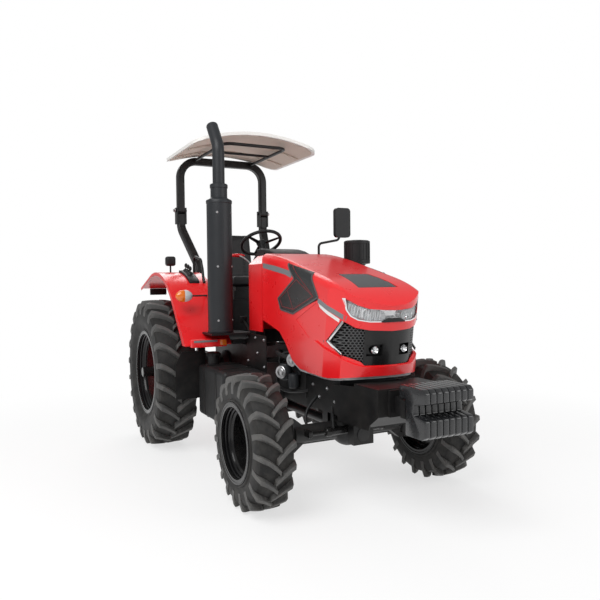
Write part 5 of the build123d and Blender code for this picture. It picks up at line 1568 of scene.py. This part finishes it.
def makePad(node, facts):
    low, high = (Vector(corner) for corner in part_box(node))
    middle = (low + high) / 2
    mesh = bmesh.new()
    mesh.from_mesh(nodes[node].data)
    bmesh.ops.remove_doubles(mesh, verts=mesh.verts, dist=0.0002)
    shrink = Vector([1 - 2 * padShape["shrink"] / (b - a) for a, b in zip(low, high)])
    for vert in mesh.verts:
        vert.co = Vector([m + (c - m) * k for m, c, k in zip(middle, vert.co, shrink)])
    data = bpy.data.meshes.new(f"{node}Pad")
    mesh.to_mesh(data)
    mesh.free()
    pad = bpy.data.objects.new(facts["name"], data)
    bpy.context.scene.collection.objects.link(pad)
    bpy.context.view_layer.objects.active = pad
    remesh = pad.modifiers.new("even", "REMESH")
    remesh.mode = "VOXEL"
    remesh.voxel_size = padShape["voxel"]
    bakeModifiers(pad)
    start = [vert.co.copy() for vert in pad.data.vertices]
    cloth = pad.modifiers.new("swell", "CLOTH")
    cloth.settings.use_pressure = True
    cloth.settings.uniform_pressure_force = padShape["pressure"]
    cloth.settings.effector_weights.gravity = 0.0
    cloth.settings.quality = 6
    scene = bpy.context.scene
    for step in range(1, padShape["steps"] + 1):
        scene.frame_set(step)
    bakeModifiers(pad)
    scene.frame_set(1)
    cap, half = padShape["cap"], padShape["channelHalf"]
    axis, face = facts["axis"], facts["face"]
    for vert, rest in zip(pad.data.vertices, start):
        move = vert.co - rest
        if move.length > cap:
            vert.co = rest + move * (cap / move.length)
        for line in facts["lines"]:
            away = abs(vert.co[axis] - (middle[axis] + line))
            if away < half and vert.normal[face] > padShape["facing"]:
                vert.co[face] -= padShape["channelDepth"] * (1 - away / half) ** 2
    smooth = pad.modifiers.new("fine", "SUBSURF")
    smooth.levels = 1
    smooth.render_levels = 1
    bakeModifiers(pad)
    pad.data.materials.clear()
    pad.data.materials.append(made["seatVinyl"])
    pad.data.shade_smooth()
    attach(pad, "chassis")
    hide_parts(node)


for padNode, padLook in padFacts.items():
    makePad(padNode, padLook)
print("seat padded")

# hood bands and the grey line under the hood
bandFacts = {
    "upper": ((1.325, 1.744), (1.560, 1.716), (1.868, 1.664), (1.862, 1.612), (1.760, 1.640), (1.325, 1.704)),
    "line": ((2.530, 0.921), (2.421, 0.909), (1.990, 0.923), (1.862, 0.974)), "lineWide": 0.016,
    "noseLine": ((0.0, 0.939), (0.160, 0.934), (0.297, 0.921)),
}


def makeBands(facts):
    mesh = bmesh.new()
    for side in (1, -1):
        skinPatch(mesh, facts["upper"], onFlank(side, 0.0012), 0.002, 0.03)
    finishPiece(mesh, "hoodBands", "hood", "greyTrim", 30.0)
    mesh = bmesh.new()
    for side in (1, -1):
        for points, skin in ((facts["line"], onSide), (facts["noseLine"], onNose)):
            addRibbon(mesh, points, facts["lineWide"], skin(0.006, side), 0.012, 0.03)
    finishPiece(mesh, "hoodUnderLine", "hood", "paleTrim", 30.0)


makeBands(bandFacts)

# bolt heads at the roll bar's hinge
hingeFacts = {"along": -0.560, "up": 2.380, "size": 0.017, "sink": 0.001}


def makeHingeBolts(facts):
    low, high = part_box("rops_posts")
    spots = [(at(facts["along"], face - out * facts["sink"], facts["up"]), (0, out, 0))
             for face, out in ((high[1], 1), (low[1], -1))]
    makeBolts("hingeBolts", "chassis", spots, facts["size"])


makeHingeBolts(hingeFacts)
print("bands and bolts made")


# rims: rounded lips over the flanges and pressed ridges down the barrels
rimFacts = {
    "wells": {"rear": 0.340, "front": 0.214}, "slopeDrop": 0.034,
    "lip": ((-0.011, 0.0004), (-0.004, 0.0012), (0.0012, -0.003), (0.0025, -0.010), (0.0008, -0.018),
            (-0.006, -0.026), (-0.014, -0.0345), (-0.030, -0.0355), (-0.036, -0.041), (-0.052, -0.043)),
    "barrel": ((-0.060, 0.45), (-0.074, 0.3)), "end": (-0.082, -0.001),
}


def makeRimLips(facts):
    for end, well in facts["wells"].items():
        along, across, up = wheelPlaces[end]
        reach, half = tyreFacts[end]["rim"], tyreFacts[end]["rimWidth"] / 2
        slope = reach - facts["slopeDrop"] - well
        line = [(half + run, reach + rise) for run, rise in facts["lip"]]
        line += [(half + run, well + slope * share) for run, share in facts["barrel"]]
        line.append((half + facts["end"][0], well + facts["end"][1]))
        for side, sign in sideSigns:
            mesh = bmesh.new()
            for face in (1, -1):
                addSpun(mesh, line, facing(at(along, sign * across, up), (0, sign * face, 0)), 72)
            finishPiece(mesh, f"{end}RimLips.{side}", f"{end}_wheel_{side}", "rimBlack", 30.0)


makeRimLips(rimFacts)
print("rims dressed")

# steering wheel: a full rim, three flat spokes and a domed cap
steerFacts = {
    "centre": (0.520, 0.0, 1.970), "tilt": 32.0, "radius": 0.195, "grip": 0.0165, "gripSides": 14,
    "spokes": (90, 210, 330), "spokeDepth": 0.009, "spokeEase": 0.003,
    "spoke": ((-0.016, 0.030, -0.021), (-0.004, 0.190, -0.013), (-0.004, 0.190, 0.013),
              (-0.016, 0.030, 0.021)),
    "hub": ((-0.040, 0.0), (-0.040, 0.036), (-0.012, 0.046), (0.002, 0.048), (0.010, 0.043), (0.014, 0.030),
            (0.016, 0.0)),
}


def makeSteeringWheel(facts):
    tilt = radians(facts["tilt"])
    axle = Vector((-sin(tilt), 0, cos(tilt)))
    centre = at(*facts["centre"])
    place = facing(centre, axle)
    mesh = bmesh.new()
    turns = [2 * pi * index / facts["gripSides"] for index in range(facts["gripSides"] + 1)]
    grip = facts["grip"]
    addSpun(mesh, [(grip * sin(turn), facts["radius"] + grip * cos(turn)) for turn in turns], place, 56)
    addSpun(mesh, facts["hub"], place, 36)
    for turn in facts["spokes"]:
        spoke = bmesh.new()
        addPlate(spoke, facts["spoke"], (facts["spokeDepth"], 0, 0), facts["spokeEase"])
        outward = Matrix.Rotation(radians(turn), 3, axle) @ Vector((0, 1, 0))
        basis = Matrix((axle, outward, axle.cross(outward))).transposed().to_4x4()
        bmesh.ops.transform(spoke, matrix=Matrix.Translation(centre) @ basis, verts=spoke.verts)
        joinMesh(mesh, spoke)
    finishPiece(
        mesh, "steeringWheel", "steering_wheel", "plainPlastic", 40.0, ("steering_wheel",),
    )


makeSteeringWheel(steerFacts)
print("steering wheel made")

print("pieces ready")
